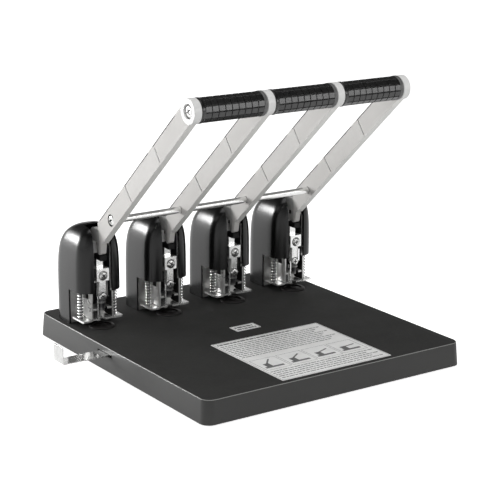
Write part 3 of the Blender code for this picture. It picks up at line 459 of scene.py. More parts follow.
class SharedEffects:
    """The node groups that more than one finish uses, each built once."""

    _made: dict[str, bpy.types.NodeTree] = {}

    @classmethod
    def _group(cls, name: str, inputs: dict[str, float], outputs: Sequence[str]) -> tuple[bpy.types.NodeTree, Tree]:
        """An empty group with number sockets.

        Args:
            name: The group's name.
            inputs: Its inputs and their usual values.
            outputs: Its outputs.

        Returns:
            The group, and a tree to add its nodes with.
        """
        group = bpy.data.node_groups.new(name, "ShaderNodeTree")
        for key, value in inputs.items():
            socket = group.interface.new_socket(key, in_out="INPUT", socket_type="NodeSocketFloat")
            socket.default_value = value
        for key in outputs:
            group.interface.new_socket(key, in_out="OUTPUT", socket_type="NodeSocketFloat")
        cls._made[name] = group
        return group, Tree(group)

    @classmethod
    def grain(cls) -> bpy.types.NodeTree:
        """Moulded or sprayed grain: fine bumps with broader unevenness under them."""
        if "moulded_grain" in cls._made:
            return cls._made["moulded_grain"]
        group, tree = cls._group("moulded_grain", {"Scale": 900.0, "Unevenness": 0.3}, ("Height", "Tone"))
        given = tree.add("NodeGroupInput").outputs
        place = tree.add("ShaderNodeTexCoord").outputs["Object"]
        fine = tree.add("ShaderNodeTexNoise", {"Vector": place, "Scale": given["Scale"], "Detail": 3.0})
        pits = tree.add("ShaderNodeTexVoronoi", {"Vector": place, "Scale": given["Scale"]}, feature="SMOOTH_F1")
        broad = tree.add("ShaderNodeTexNoise", {"Vector": place, "Scale": 24.0, "Detail": 2.0})
        bumps = tree.sum("ADD", fine.outputs["Fac"], tree.sum("MULTIPLY", pits.outputs["Distance"], 0.6))
        height = tree.sum("ADD", bumps, tree.sum("MULTIPLY", broad.outputs["Fac"], given["Unevenness"]))
        tree.add("NodeGroupOutput", {"Height": height, "Tone": broad.outputs["Fac"]})
        return group

    @classmethod
    def brushing(cls) -> bpy.types.NodeTree:
        """Fine lines along one direction, as rolling, drawing or brushing leaves them."""
        if "brushing" in cls._made:
            return cls._made["brushing"]
        inputs = {"Along X": 60.0, "Along Y": 60.0, "Along Z": 2600.0}
        group, tree = cls._group("brushing", inputs, ("Height", "Tone"))
        given = tree.add("NodeGroupInput").outputs
        place = tree.add("ShaderNodeTexCoord").outputs["Object"]
        scale = tree.add(
            "ShaderNodeCombineXYZ", {"X": given["Along X"], "Y": given["Along Y"], "Z": given["Along Z"]}
        ).outputs[0]
        stretched = tree.add("ShaderNodeMapping", {"Vector": place, "Scale": scale}, vector_type="POINT").outputs[0]
        lines = tree.add("ShaderNodeTexNoise", {"Vector": stretched, "Scale": 1.0, "Detail": 4.0})
        broad = tree.add("ShaderNodeTexNoise", {"Vector": place, "Scale": 70.0, "Detail": 2.0})
        tree.add("NodeGroupOutput", {"Height": lines.outputs["Fac"], "Tone": broad.outputs["Fac"]})
        return group

    @classmethod
    def handling(cls) -> bpy.types.NodeTree:
        """Smudges and faint rubbing that make a surface duller in places."""
        if "handling" in cls._made:
            return cls._made["handling"]
        group, tree = cls._group("handling", {"Scale": 30.0, "Dullest": 0.4, "Glossiest": 0.2}, ("Roughness",))
        given = tree.add("NodeGroupInput").outputs
        place = tree.add("ShaderNodeTexCoord").outputs["Object"]
        cloud = tree.add("ShaderNodeTexNoise", {"Vector": place, "Scale": given["Scale"], "Detail": 5.0})
        wisps = tree.add(
            "ShaderNodeTexNoise", {"Vector": place, "Scale": 260.0, "Detail": 3.0, "Distortion": 1.4}
        )
        mixed = tree.sum("MULTIPLY_ADD", wisps.outputs["Fac"], 0.25)
        tree.tree.links.new(cloud.outputs["Fac"], mixed.node.inputs[2])
        dull = tree.spread(mixed, 0.45, 0.85, given["Glossiest"], given["Dullest"])
        tree.add("NodeGroupOutput", {"Roughness": dull})
        return group

    @classmethod
    def edge_wear_and_highlight(cls) -> bpy.types.NodeTree:
        """Where edges change colour: partly wear rubbed by hands and paper, partly a painted highlight along sharp
        edges.
        """
        if "edge_wear_and_highlight" in cls._made:
            return cls._made["edge_wear_and_highlight"]
        group, tree = cls._group("edge_wear_and_highlight", {"Amount": 0.5, "Start": 0.53}, ("Mask",))
        given = tree.add("NodeGroupInput").outputs
        sharp = tree.add("ShaderNodeNewGeometry").outputs["Pointiness"]
        place = tree.add("ShaderNodeTexCoord").outputs["Object"]
        patchy = tree.add("ShaderNodeTexNoise", {"Vector": place, "Scale": 220.0, "Detail": 4.0})
        end = tree.sum("ADD", given["Start"], 0.05)
        rise = tree.add(
            "ShaderNodeMapRange",
            {"Value": sharp, "From Min": given["Start"], "From Max": end, "To Min": 0.0, "To Max": given["Amount"]},
        ).outputs["Result"]
        wear_and_highlight = tree.sum("MULTIPLY", rise, tree.spread(patchy.outputs["Fac"], 0.3, 0.6, 0.35, 1.0))
        tree.add("NodeGroupOutput", {"Mask": wear_and_highlight})
        return group

    @classmethod
    def dust(cls) -> bpy.types.NodeTree:
        """A trace of dust on what faces upwards."""
        if "dust" in cls._made:
            return cls._made["dust"]
        group, tree = cls._group("dust", {"Amount": 0.05}, ("Mask",))
        given = tree.add("NodeGroupInput").outputs
        upward = tree.add(
            "ShaderNodeSeparateXYZ", {"Vector": tree.add("ShaderNodeNewGeometry").outputs["Normal"]}
        ).outputs["Z"]
        place = tree.add("ShaderNodeTexCoord").outputs["Object"]
        specks = tree.add("ShaderNodeTexNoise", {"Vector": place, "Scale": 420.0, "Detail": 6.0})
        lying = tree.spread(upward, 0.6, 1.0, 0.0, given["Amount"])
        flecks = tree.spread(specks.outputs["Fac"], 0.42, 0.7, 0.0, 1.0)
        tree.add("NodeGroupOutput", {"Mask": tree.sum("MULTIPLY", lying, flecks)})
        return group


@dataclass(frozen=True)
class Finish:
    """A finish: its colour, how dull it is, and the surface under it."""

    name: str
    slot: str
    colour: Triple
    dullest: float
    glossiest: float
    grain_scale: float = 900.0
    grain_height: float = 0.00002
    unevenness: float = 0.3
    tone_change: float = 0.12
    # edge_amount and edge_colour set the colour of sharp edges: partly rubbed wear, partly a painted highlight.
    edge_amount: float = 0.4
    edge_colour: Triple = (0.35, 0.35, 0.35)
    dust_amount: float = 0.03
    metallic: float = 0.0
    specular: float = 0.5
    coat: float = 0.0
    coat_roughness: float = 0.05
    brushed: Triple | None = None

    def material(self) -> bpy.types.Material:
        """The finish's material, made at its first use."""
        known = bpy.data.materials.get(self.name)
        return known if known else self._make()

    def _make(self) -> bpy.types.Material:
        """Builds the material's nodes.

        Returns:
            The material.
        """
        made = bpy.data.materials.new(self.name)
        made.use_nodes = True
        made.diffuse_color = (*self.colour, 1.0)
        tree = Tree(made.node_tree)
        shader = made.node_tree.nodes["Principled BSDF"]
        shader.inputs["Metallic"].default_value = self.metallic
        shader.inputs["Specular IOR Level"].default_value = self.specular
        shader.inputs["Coat Weight"].default_value = self.coat
        shader.inputs["Coat Roughness"].default_value = self.coat_roughness
        surface = self._surface(tree)
        lighter = tuple(min(1.0, part * (1 + self.tone_change)) for part in self.colour)
        darker = tuple(part * (1 - self.tone_change) for part in self.colour)
        tone = tree.spread(surface.outputs["Tone"], 0.3, 0.7, 0.0, 1.0)
        colour = tree.tint(tone, (*darker, 1.0), (*lighter, 1.0))
        # Sharp edges take the edge colour: partly rubbed wear, partly a painted highlight.
        wear_and_highlight = tree.add("ShaderNodeGroup", node_tree=SharedEffects.edge_wear_and_highlight())
        wear_and_highlight.inputs["Amount"].default_value = self.edge_amount
        colour = tree.tint(wear_and_highlight.outputs["Mask"], colour, (*self.edge_colour, 1.0))
        dust = tree.add("ShaderNodeGroup", node_tree=SharedEffects.dust())
        dust.inputs["Amount"].default_value = self.dust_amount
        colour = tree.tint(dust.outputs["Mask"], colour, (0.42, 0.41, 0.39, 1.0))
        handled = tree.add("ShaderNodeGroup", node_tree=SharedEffects.handling())
        handled.inputs["Dullest"].default_value = self.dullest
        handled.inputs["Glossiest"].default_value = self.glossiest
        bump = tree.add(
            "ShaderNodeBump", {"Strength": 1.0, "Distance": self.grain_height, "Height": surface.outputs["Height"]}
        )
        made.node_tree.links.new(colour, shader.inputs["Base Color"])
        made.node_tree.links.new(handled.outputs["Roughness"], shader.inputs["Roughness"])
        made.node_tree.links.new(bump.outputs["Normal"], shader.inputs["Normal"])
        return made

    def _surface(self, tree: Tree) -> bpy.types.Node:
        """The node that gives the finish its bumps and broad tone: brushed lines, or grain."""
        if self.brushed:
            node = tree.add("ShaderNodeGroup", node_tree=SharedEffects.brushing())
            for key, value in zip(("Along X", "Along Y", "Along Z"), self.brushed):
                node.inputs[key].default_value = value
            return node
        node = tree.add("ShaderNodeGroup", node_tree=SharedEffects.grain())
        node.inputs["Scale"].default_value = self.grain_scale
        node.inputs["Unevenness"].default_value = self.unevenness
        return node


# The base's sides and top are one paint: the sides are painted lighter as light, the top darker as shade. The top is
# also rougher.
BASE_SIDE_LIT = Finish(
    "base_side_charcoal_painted_light", "base", (0.046, 0.046, 0.045), 0.42, 0.39, 1800.0, 0.000003, 0.05, 0.02, 0.0,
    (0.30, 0.30, 0.29), 0.0, specular=0.28,
)
BASE_TOP_SHADED = Finish(
    "base_top_charcoal_painted_shade", "base", (0.030, 0.030, 0.029), 0.66, 0.58, 1800.0, 0.00003, 0.1, 0.04, 0.0,
    (0.26, 0.26, 0.25), 0.01, specular=0.16,
)
# A much lighter colour on the small rounded faces along the top edge: a painted highlight.
BASE_RIM_HIGHLIGHT = Finish(
    "base_rim_painted_highlight", "base", (0.26, 0.26, 0.25), 0.40, 0.32, 1800.0, 0.000004, 0.1, 0.1, 0.0, specular=0.6
)
BOTTOM_BLACK = Finish("bottom_black", "bottom", (0.014, 0.014, 0.014), 0.85, 0.7, 700.0, 0.00008, 0.3, 0.2, 0.0)
DISC_BLACK = Finish(
    "disc_black", "disc", (0.009, 0.008, 0.008), 0.50, 0.40, 1200.0, 0.00002, 0.2, 0.1, 0.25, (0.07, 0.07, 0.07),
    0.02, specular=0.3,
)
# Painted shade for the faces deep in the channel that the carriage slides in.
CHANNEL_SHADE = Finish(
    "channel_painted_shade", "plated", (0.020, 0.020, 0.020), 0.5, 0.4, 900.0, 0.00001, 0.3, 0.1, 0.1, specular=0.3
)
# A less metallic, more diffuse copy of the plated sheet: painted light standing in for what the back plate reflects
# beside the channel.
BACK_PLATE_LIT = Finish(
    "back_plate_painted_light", "plated", (0.42, 0.42, 0.41), 0.40, 0.30, 500.0, 0.000003, 0.3, 0.04, 0.1,
    (0.9, 0.9, 0.9), 0.0, metallic=0.25, brushed=(60.0, 2200.0, 2200.0),
)
TAIL_STEEL = Finish(
    "lever_tail_steel", "arm", (0.42, 0.42, 0.41), 0.4, 0.3, 900.0, 0.000004, 0.3, 0.15, 0.7, (0.6, 0.6, 0.59), 0.0,
    metallic=0.3, brushed=(60.0, 60.0, 900.0),
)
PAD_BLACK = Finish("pad_black", "plated", (0.006, 0.006, 0.006), 0.6, 0.5, 900.0, 0.00002, 0.3, 0.1, 0.0, specular=0.2)
# Painted shade: the dark ring round screw heads, and the faces of cross recesses and screw seats.
SHADOW_RING = Finish("screw_seat_painted_shadow", "plated", (0.045, 0.045, 0.045), 0.7, 0.55, 900.0, 0.00002, 0.3, 0.1, 0.0)
COVER_GLOSS = Finish(
    "cover_gloss_black", "cover", (0.004, 0.004, 0.004), 0.26, 0.22, 600.0, 0.000001, 0.4, 0.1, 0.0,
    (0.03, 0.03, 0.03), 0.002, specular=0.36,
)
CHROME = Finish(
    "plated_bright", "plated", (0.86, 0.86, 0.85), 0.26, 0.20, 500.0, 0.000003, 0.3, 0.03, 0.3,
    (0.97, 0.97, 0.96), 0.0, metallic=0.8, brushed=(2400.0, 2400.0, 80.0),
)
PLATE_STEEL = Finish(
    "plated_sheet", "plated", (0.60, 0.60, 0.59), 0.32, 0.26, 500.0, 0.000003, 0.3, 0.03, 0.08,
    (0.97, 0.97, 0.96), 0.0, metallic=0.6, brushed=(60.0, 2200.0, 2200.0),
)
SPRING_ROD = Finish(
    "spring_rod_dark", "plated", (0.10, 0.10, 0.10), 0.42, 0.32, 900.0, 0.000003, 0.3, 0.1, 0.1, (0.3, 0.3, 0.3),
    0.0, metallic=0.7,
)
GAUGE_STEEL = Finish(
    "gauge_bright", "plated", (0.70, 0.70, 0.69), 0.16, 0.10, 260.0, 0.00004, 0.6, 0.05, 0.9, (0.30, 0.30, 0.30),
    0.0, metallic=0.9,
)
SPRING_WIRE = Finish(
    "spring_wire_bright", "spring", (0.90, 0.90, 0.89), 0.28, 0.20, 500.0, 0.000002, 0.3, 0.03, 0.2,
    (0.97, 0.97, 0.96), 0.0, metallic=0.9, brushed=(900.0, 900.0, 3200.0),
)
SCREW_STEEL = Finish(
    "screw_plated", "plated", (0.62, 0.62, 0.61), 0.32, 0.22, 1500.0, 0.000004, 0.3, 0.05, 0.4,
    (0.95, 0.95, 0.94), 0.0, metallic=0.95,
)
DARK_STEEL = Finish(
    "punch_dark_oxide", "tool_steel", (0.045, 0.045, 0.047), 0.42, 0.30, 2200.0, 0.000008, 0.4, 0.2, 0.7,
    (0.42, 0.42, 0.41), 0.0, metallic=0.8, brushed=(400.0, 400.0, 3800.0),
)
ARM_SILVER = Finish(
    "arm_pale_silver", "arm", (0.50, 0.49, 0.475), 0.58, 0.50, 2600.0, 0.000006, 0.2, 0.02, 0.1,
    (0.80, 0.80, 0.79), 0.01, specular=0.3,
)
# A paler copy of the arm's silver for its narrow faces: painted light from the bright floor below.
ARM_NARROW_LIT = Finish(
    "arm_narrow_face_painted_light", "arm", (0.80, 0.79, 0.77), 0.44, 0.36, 2600.0, 0.000006, 0.2, 0.02, 0.1, (0.90, 0.90, 0.89),
    0.0,
)
# Dark strips in the lines: the chevron joints' own dark, and painted shade along the back edge.
ARM_JOINT_AND_EDGE_SHADE = Finish(
    "arm_joint_and_painted_edge_shade", "arm", (0.030, 0.030, 0.030), 0.7, 0.55, 1500.0, 0.00002, 0.4, 0.2, 0.0,
)
HUB_WHITE = Finish(
    "hub_white", "arm", (0.80, 0.80, 0.79), 0.42, 0.30, 1500.0, 0.000010, 0.4, 0.03, 0.1, (0.9, 0.9, 0.9), 0.01,
)
GRIP_RUBBER = Finish(
    "grip_black_rubber", "grip", (0.006, 0.006, 0.006), 0.30, 0.24, 1500.0, 0.000004, 0.3, 0.1, 0.3,
    (0.05, 0.05, 0.05), 0.006, specular=0.7,
)
COLLAR_GREY = Finish(
    "grip_collar_grey", "grip", (0.12, 0.12, 0.12), 0.45, 0.32, 1500.0, 0.00001, 0.4, 0.1, 0.2, (0.3, 0.3, 0.3), 0.0
)
LABEL_SILVER = Finish(
    "label_silver", "plated", (0.93, 0.93, 0.92), 0.40, 0.30, 900.0, 0.000004, 0.4, 0.05, 0.0,
    (0.9, 0.9, 0.9), 0.0, metallic=0.15, brushed=(40.0, 1800.0, 40.0),
)
LABEL_INK = Finish("label_ink", "base", (0.14, 0.14, 0.14), 0.6, 0.45, 1800.0, 0.000002, 0.4, 0.2, 0.0)


@dataclass
class Base:
    """The base: its tray and the cutting discs let into it."""

    half_width: float = 0.150
    front: float = -0.2406
    back: float = 0.0774
    bottom: float = 0.0015
    corner: float = 0.010
    draft: float = 0.0015
    wall: float = 0.004
    top_thickness: float = 0.0056
    edge: float = 0.0009
    disc_radius: float = 0.0133
    disc_sunk: float = 0.003
    seat_gap: float = 0.0003
    slot_y: float = -0.059
    slot_length: float = 0.028
    slot_height: float = 0.003

    def build(self) -> None:
        """Makes the tray and the discs."""
        tray = Piece.finish(self._tray(), "tray", BASE_SIDE_LIT, "base", None, "base_shell")
        self._dress_top(tray)
        for number, x in enumerate(HEAD_XS, 1):
            disc = self._disc().moved(x=x, z=BASE_TOP_Z)
            Piece.finish(disc, f"die_disc_{number}", DISC_BLACK, "base", Edge(0.0003, 3), f"cutting_disc_{number}")

    def _tray(self) -> Blank:
        """The shell, open below, with the discs' seats and the gauge's slot.

        Returns:
            The shell as a blank.
        """
        block = Blank.block((-self.half_width, self.front, self.bottom), (self.half_width, self.back, BASE_TOP_Z))
        bm = block.bm
        upright = [edge for edge in bm.edges if abs(edge.verts[0].co.z - edge.verts[1].co.z) > 0.01]
        bmesh.ops.bevel(
            bm, geom=upright, offset=self.corner, affect="EDGES", segments=12, profile=0.5, material=-1
        )
        self._flare(bm)
        self._soften_top(bm)
        self._hollow(bm)
        seats = [
            Blank.rod(
                Plane.XY,
                self.disc_radius + self.seat_gap,
                BASE_TOP_Z - self.disc_sunk - self.seat_gap,
                BASE_TOP_Z + 0.01,
                (x, 0.0),
                FINE,
            )
            for x in HEAD_XS
        ]
        slot_top = BASE_TOP_Z - self.top_thickness
        slot = Blank.block(
            (-self.half_width - 0.01, self.slot_y - self.slot_length / 2, slot_top - self.slot_height),
            (-self.half_width + self.wall + 0.0005, self.slot_y + self.slot_length / 2, slot_top),
        )
        return block.cut(slot, *seats)

    def _flare(self, bm: bmesh.types.BMesh) -> None:
        """Widens the foot of the block by the draft."""
        middle = Vector((0.0, (self.front + self.back) / 2, 0.0))
        half_depth = (self.back - self.front) / 2
        foot = [vert for vert in bm.verts if vert.co.z < self.bottom + 0.001]
        wider = ((self.half_width + self.draft) / self.half_width, (half_depth + self.draft) / half_depth, 1.0)
        bmesh.ops.scale(bm, vec=wider, space=Matrix.Translation(-middle), verts=foot)

    def _soften_top(self, bm: bmesh.types.BMesh) -> None:
        """Rounds the edge round the top."""
        rim = [edge for edge in bm.edges if all(vert.co.z > BASE_TOP_Z - 0.0001 for vert in edge.verts)]
        bmesh.ops.bevel(bm, geom=rim, offset=self.edge, affect="EDGES", segments=4, profile=0.5, material=-1)

    def _hollow(self, bm: bmesh.types.BMesh) -> None:
        """Sinks the underside, which leaves the wall and the top."""
        under = [face for face in bm.faces if face.normal.z < -0.9 and face.calc_area() > 0.01]
        bmesh.ops.inset_region(bm, faces=under, thickness=self.wall + self.draft, use_even_offset=True)
        sunk = bmesh.ops.extrude_face_region(bm, geom=under)
        risen = [item for item in sunk["geom"] if isinstance(item, bmesh.types.BMVert)]
        bmesh.ops.translate(bm, vec=(0.0, 0.0, BASE_TOP_Z - self.top_thickness - self.bottom), verts=risen)
        bmesh.ops.delete(bm, geom=[face for face in under if face.is_valid], context="FACES")

    def _dress_top(self, tray: bpy.types.Object) -> None:
        """Gives the tray's top its duller finish, painted darker than the sides as shade, and the edge round it a
        painted highlight.
        """
        Piece.dress(tray, BASE_TOP_SHADED, lambda face: face.normal.z > 0.9 and face.center.z > BASE_TOP_Z - 0.0002)
        # The rounded edge round the top gets a painted highlight.
        Piece.dress(tray, BASE_RIM_HIGHLIGHT, lambda face: 0.3 < face.normal.z < 0.97 and face.center.z > BASE_TOP_Z - self.edge)

    def _disc(self) -> Blank:
        """A cutting disc: a raised rim round a shallow dish with a pad that takes the punch.

        Returns:
            The disc as a blank.
        """
        top = 0.0015
        profile = (
            (0.0, top - 0.0004),
            (0.0036, top - 0.0004),
            (0.0040, top - 0.0007),
            (0.0086, top - 0.0007),
            (0.0092, top),
            (0.0122, top),
            (self.disc_radius, top - 0.0008),
            (self.disc_radius, -self.disc_sunk),
            (0.0, -self.disc_sunk),
        )
        return Blank.turned(Plane.XY, profile, (0.0, 0.0), FINE)


@dataclass
class HeadCover:
    """The glossy shell over a head, with its slot for the lever and its cut-away lower front."""

    half_width: float = 0.0245
    front: float = -0.005
    back: float = 0.063
    foot: float = 0.0003
    height: float = 0.106
    wall: float = 0.0018
    front_radius: float = 0.014
    back_radius: float = 0.022
    crown_y: float = 0.009
    slot_half_width: float = 0.0103
    slot_back: float = 0.016
    skirt_z: float = 0.037
    skirt_back: float = 0.0238
    side_power: float = 8.5
    back_power: float = 6.0
    front_power: float = 12.0
    shares: tuple[float, ...] = (
        0.30, 0.45, 0.56, 0.64, 0.70, 0.75, 0.79, 0.825, 0.855, 0.88, 0.90, 0.918, 0.934, 0.948, 0.960, 0.970,
        0.978, 0.985, 0.990, 0.994,
    )

    def build(self) -> Blank:
        """Shapes the shell about its punch's axis.

        Returns:
            The shell as a blank.
        """
        shell = Blank.block((-self.half_width, self.front, self.foot), (self.half_width, self.back, self.height))
        self._round_plan(shell.bm)
        self._dome(shell)
        self._open(shell)
        return shell.thickened(self.wall)

    def _round_plan(self, bm: bmesh.types.BMesh) -> None:
        """Rounds the upright edges, the back ones more."""
        for y, radius in ((self.front, self.front_radius), (self.back, self.back_radius)):
            upright = [edge for edge in bm.edges if all(abs(vert.co.y - y) < WELD for vert in edge.verts)]
            upright = [edge for edge in upright if abs(edge.verts[0].co.z - edge.verts[1].co.z) > 0.05]
            bmesh.ops.bevel(bm, geom=upright, offset=radius, affect="EDGES", segments=12, profile=0.5, material=-1)

    def _closing(self, share: float, power: float) -> float:
        """What is left of the plan at a share of the height, from 1 at the foot to 0 at the crown."""
        return math.sqrt(max(0.0, 1.0 - share**power))

    def _dome(self, shell: Blank) -> None:
        """Cuts levels into the block and draws each one in towards the crown."""
        heights = [self.foot + (self.height - self.foot) * share for share in self.shares]
        for height in heights:
            shell.split((0.0, 0.0, height), (0.0, 0.0, 1.0))
        shell.bm.verts.ensure_lookup_table()
        centre = Matrix.Translation((0.0, -self.crown_y, 0.0))
        for share, height in [*zip(self.shares, heights), (0.9985, self.height)]:
            level = [vert for vert in shell.bm.verts if abs(vert.co.z - height) < 1e-5]
            side = self._closing(share, self.side_power)
            for verts, power in (
                ([vert for vert in level if vert.co.y > self.crown_y], self.back_power),
                ([vert for vert in level if vert.co.y <= self.crown_y], self.front_power),
            ):
                inwards = (side, self._closing(share, power), 1.0)
                bmesh.ops.scale(shell.bm, vec=inwards, space=centre, verts=verts)

    def _open(self, shell: Blank) -> None:
        """Opens the underside, the slot and the lower front."""
        for side in (-1, 1):
            shell.split((side * self.slot_half_width, 0.0, 0.0), (1.0, 0.0, 0.0))
        shell.split((0.0, self.slot_back, 0.0), (0.0, 1.0, 0.0))
        shell.split((0.0, self.skirt_back, 0.0), (0.0, 1.0, 0.0))
        shell.split((0.0, 0.0, self.skirt_z), (0.0, 0.0, 1.0))
        gone = []
        for face in shell.bm.faces:
            middle = face.calc_center_median()
            in_slot = abs(middle.x) < self.slot_half_width and middle.y < self.slot_back
            in_skirt = middle.y < self.skirt_back and middle.z < self.skirt_z
            if in_skirt or (in_slot and middle.z > self.skirt_z) or middle.z < self.foot + 1e-5:
                gone.append(face)
        bmesh.ops.delete(shell.bm, geom=gone, context="FACES")


@dataclass
class HeadFrame:
    """The plated bracket in a head: back plate, flange, two cheeks and the bridge round the punch."""

    cheek_inner: float = 0.0108
    cheek_thickness: float = 0.002
    back_plate_y: float = 0.0253
    back_plate_top: float = 0.058
    half_width: float = 0.0221
    crosshead: tuple[float, float, float, float] = (0.0040, 0.0135, 0.02855, 0.0496)
    pivot: Pair = (0.021, 0.0723)

    def build(self) -> Blank:
        """Shapes the bracket about its punch's axis.

        Returns:
            The bracket as a blank.
        """
        y = self.back_plate_y
        back = Blank.sheet(
            Plane.XZ,
            (
                (-self.half_width, 0.0003, 0.0),
                (self.half_width, 0.0003, 0.0),
                (self.half_width, self.back_plate_top, 0.003),
                (-self.half_width, self.back_plate_top, 0.003),
            ),
            y,
            y + 0.002,
        )
        outer = self.cheek_inner + self.cheek_thickness
        flange = Blank.sheet(
            Plane.XY,
            ((-outer, y + 0.001, 0), (outer, y + 0.001, 0), (outer, y + 0.020, 0.003), (-outer, y + 0.020, 0.003)),
            0.0003,
            0.0023,
        )
        half = self.cheek_inner + 0.0005
        bridge = Blank.block((-half, -0.0012, 0.0175), (half, 0.0145, 0.0195))
        notch = Blank.rod(Plane.XY, 0.0061, 0.01, 0.03, (0.0, 0.0))
        bracket = back.weld(flange, self._cheek(-1), self._cheek(1), bridge.cut(notch))
        for side in (-1, 1):
            bracket.split((side * (self.cheek_inner + self.cheek_thickness / 2), 0.0, 0.0), (1.0, 0.0, 0.0))
        return bracket

    def _cheek(self, side: int) -> Blank:
        """One side plate.

        Args:
            side: -1 for the left cheek and 1 for the right one.

        Returns:
            The cheek as a blank.
        """
        joint = self.back_plate_y + 0.0005
        outline = (
            (-0.0020, 0.0091, 0.001),
            (0.0150, 0.0091, 0.004),
            (0.0150, 0.0200, 0.0),
            (joint, 0.0200, 0.0),
            (joint, self.back_plate_top, 0.0),
            (0.0320, self.back_plate_top, 0.004),
            (0.0320, 0.0860, 0.008),
            (0.0008, 0.0860, 0.008),
            (0.0008, 0.0360, 0.0),
            (-0.0020, 0.0360, 0.0),
        )
        near, far = sorted((side * self.cheek_inner, side * (self.cheek_inner + self.cheek_thickness)))
        plate = Blank.sheet(Plane.YZ, outline, near, far)
        front, back, low, high = self.crosshead
        window = Blank.block((near - 0.01, front, low), (far + 0.01, back, high))
        bore = Blank.rod(Plane.YZ, 0.0043, near - 0.01, far + 0.01, self.pivot)
        return plate.cut(window, bore)


@dataclass
class FootPlate:
    """The plate over the paper, its two spring rods and the upright finger beside the punch."""

    bottom: float = 0.007
    top: float = 0.0088
    half_width: float = 0.0232
    front: float = -0.0032
    rod_x: float = 0.0189
    rod_y: float = 0.00875
    rod_radius: float = 0.0016
    rod_top: float = 0.052

    def build(self) -> Blank:
        """Shapes the plate about its punch's axis.

        Returns:
            The plate as a blank.
        """
        w = self.half_width
        outline = (
            (-w, self.front, 0.0016),
            (-0.0130, self.front, 0.0008),
            (-0.0120, -0.0006, 0.0005),
            (-0.0066, -0.0006, 0.0),
            (-0.0066, -0.0022, 0.0),
            (0.0115, -0.0022, 0.0),
            (0.0115, self.front, 0.0),
            (w, self.front, 0.0016),
            (w, 0.0200, 0.0012),
            (0.0160, 0.0200, 0.0),
            (0.0160, 0.0250, 0.0),
            (-0.0160, 0.0250, 0.0),
            (-0.0160, 0.0200, 0.0),
            (-w, 0.0200, 0.0012),
        )
        plate = Blank.sheet(Plane.XY, outline, self.bottom, self.top)
        hole = Blank.rod(Plane.XY, 0.0036, 0.0, 0.02, (0.0, 0.0))
        finger = Blank.block((-0.0060, -0.0028, self.bottom), (-0.0048, -0.0018, 0.0323))
        rods = [self._rod(side) for side in (-1, 1)]
        return plate.cut(hole).weld(finger, *rods)

    def _rod(self, side: int) -> Blank:
        """A spring's rod with its rounded top, on the side given as -1 or 1."""
        r = self.rod_radius
        profile = ((0.0, self.top - 0.0005), (r, self.top - 0.0005), (r, self.rod_top - 0.0008))
        profile += ((r - 0.0006, self.rod_top), (0.0, self.rod_top))
        return Blank.turned(Plane.XY, profile, (side * self.rod_x, self.rod_y), 24)


@dataclass
class ReturnSpring:
    """A coiled wire between the foot plate and the crosshead."""

    mean_radius: float = 0.0030
    wire_radius: float = 0.0006
    turns: int = 11
    points_per_turn: int = 24
    wire_sides: int = 8
    low: float = 0.0091
    high: float = 0.0447
    travel: float = 0.0156

    def build(self, x: float, y: float) -> Blank:
        """Sweeps the wire's section up the coil.

        Args:
            x: Where the spring's axis stands.
            y: Where the spring's axis stands.

        Returns:
            The wire as a blank.
        """
        made = Blank()
        ring = bmesh.ops.create_circle(made.bm, cap_ends=True, segments=self.wire_sides, radius=self.wire_radius)
        start = self.low + self.wire_radius
        tip = Matrix.Translation((self.mean_radius, 0.0, 0.0)) @ Matrix.Rotation(math.pi / 2, 4, "X")
        bmesh.ops.transform(made.bm, matrix=tip, verts=ring["verts"])
        count = self.turns * self.points_per_turn
        bmesh.ops.spin(
            made.bm,
            geom=[*made.bm.verts, *made.bm.edges, *made.bm.faces],
            cent=(0.0, 0.0, 0.0),
            axis=(0.0, 0.0, 1.0),
            dvec=(0.0, 0.0, (self.high - self.wire_radius - start) / count),
            angle=math.tau * self.turns,
            steps=count,
        )
        bmesh.ops.translate(made.bm, vec=(x, y, start + BASE_TOP_Z), verts=made.bm.verts)
        return made

    def place(self, name: str, solid: str, joint: str, x: float, y: float) -> None:
        """Makes the spring and gives it a mesh of its own.

        Args:
            name: The piece's name.
            solid: The solid that it stands for.
            joint: Not used.
            x: Where its axis stands.
            y: Where its axis stands.
        """
        wire = Piece.finish(self.build(x, y), name, SPRING_WIRE, "base", None, solid)
        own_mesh(wire)


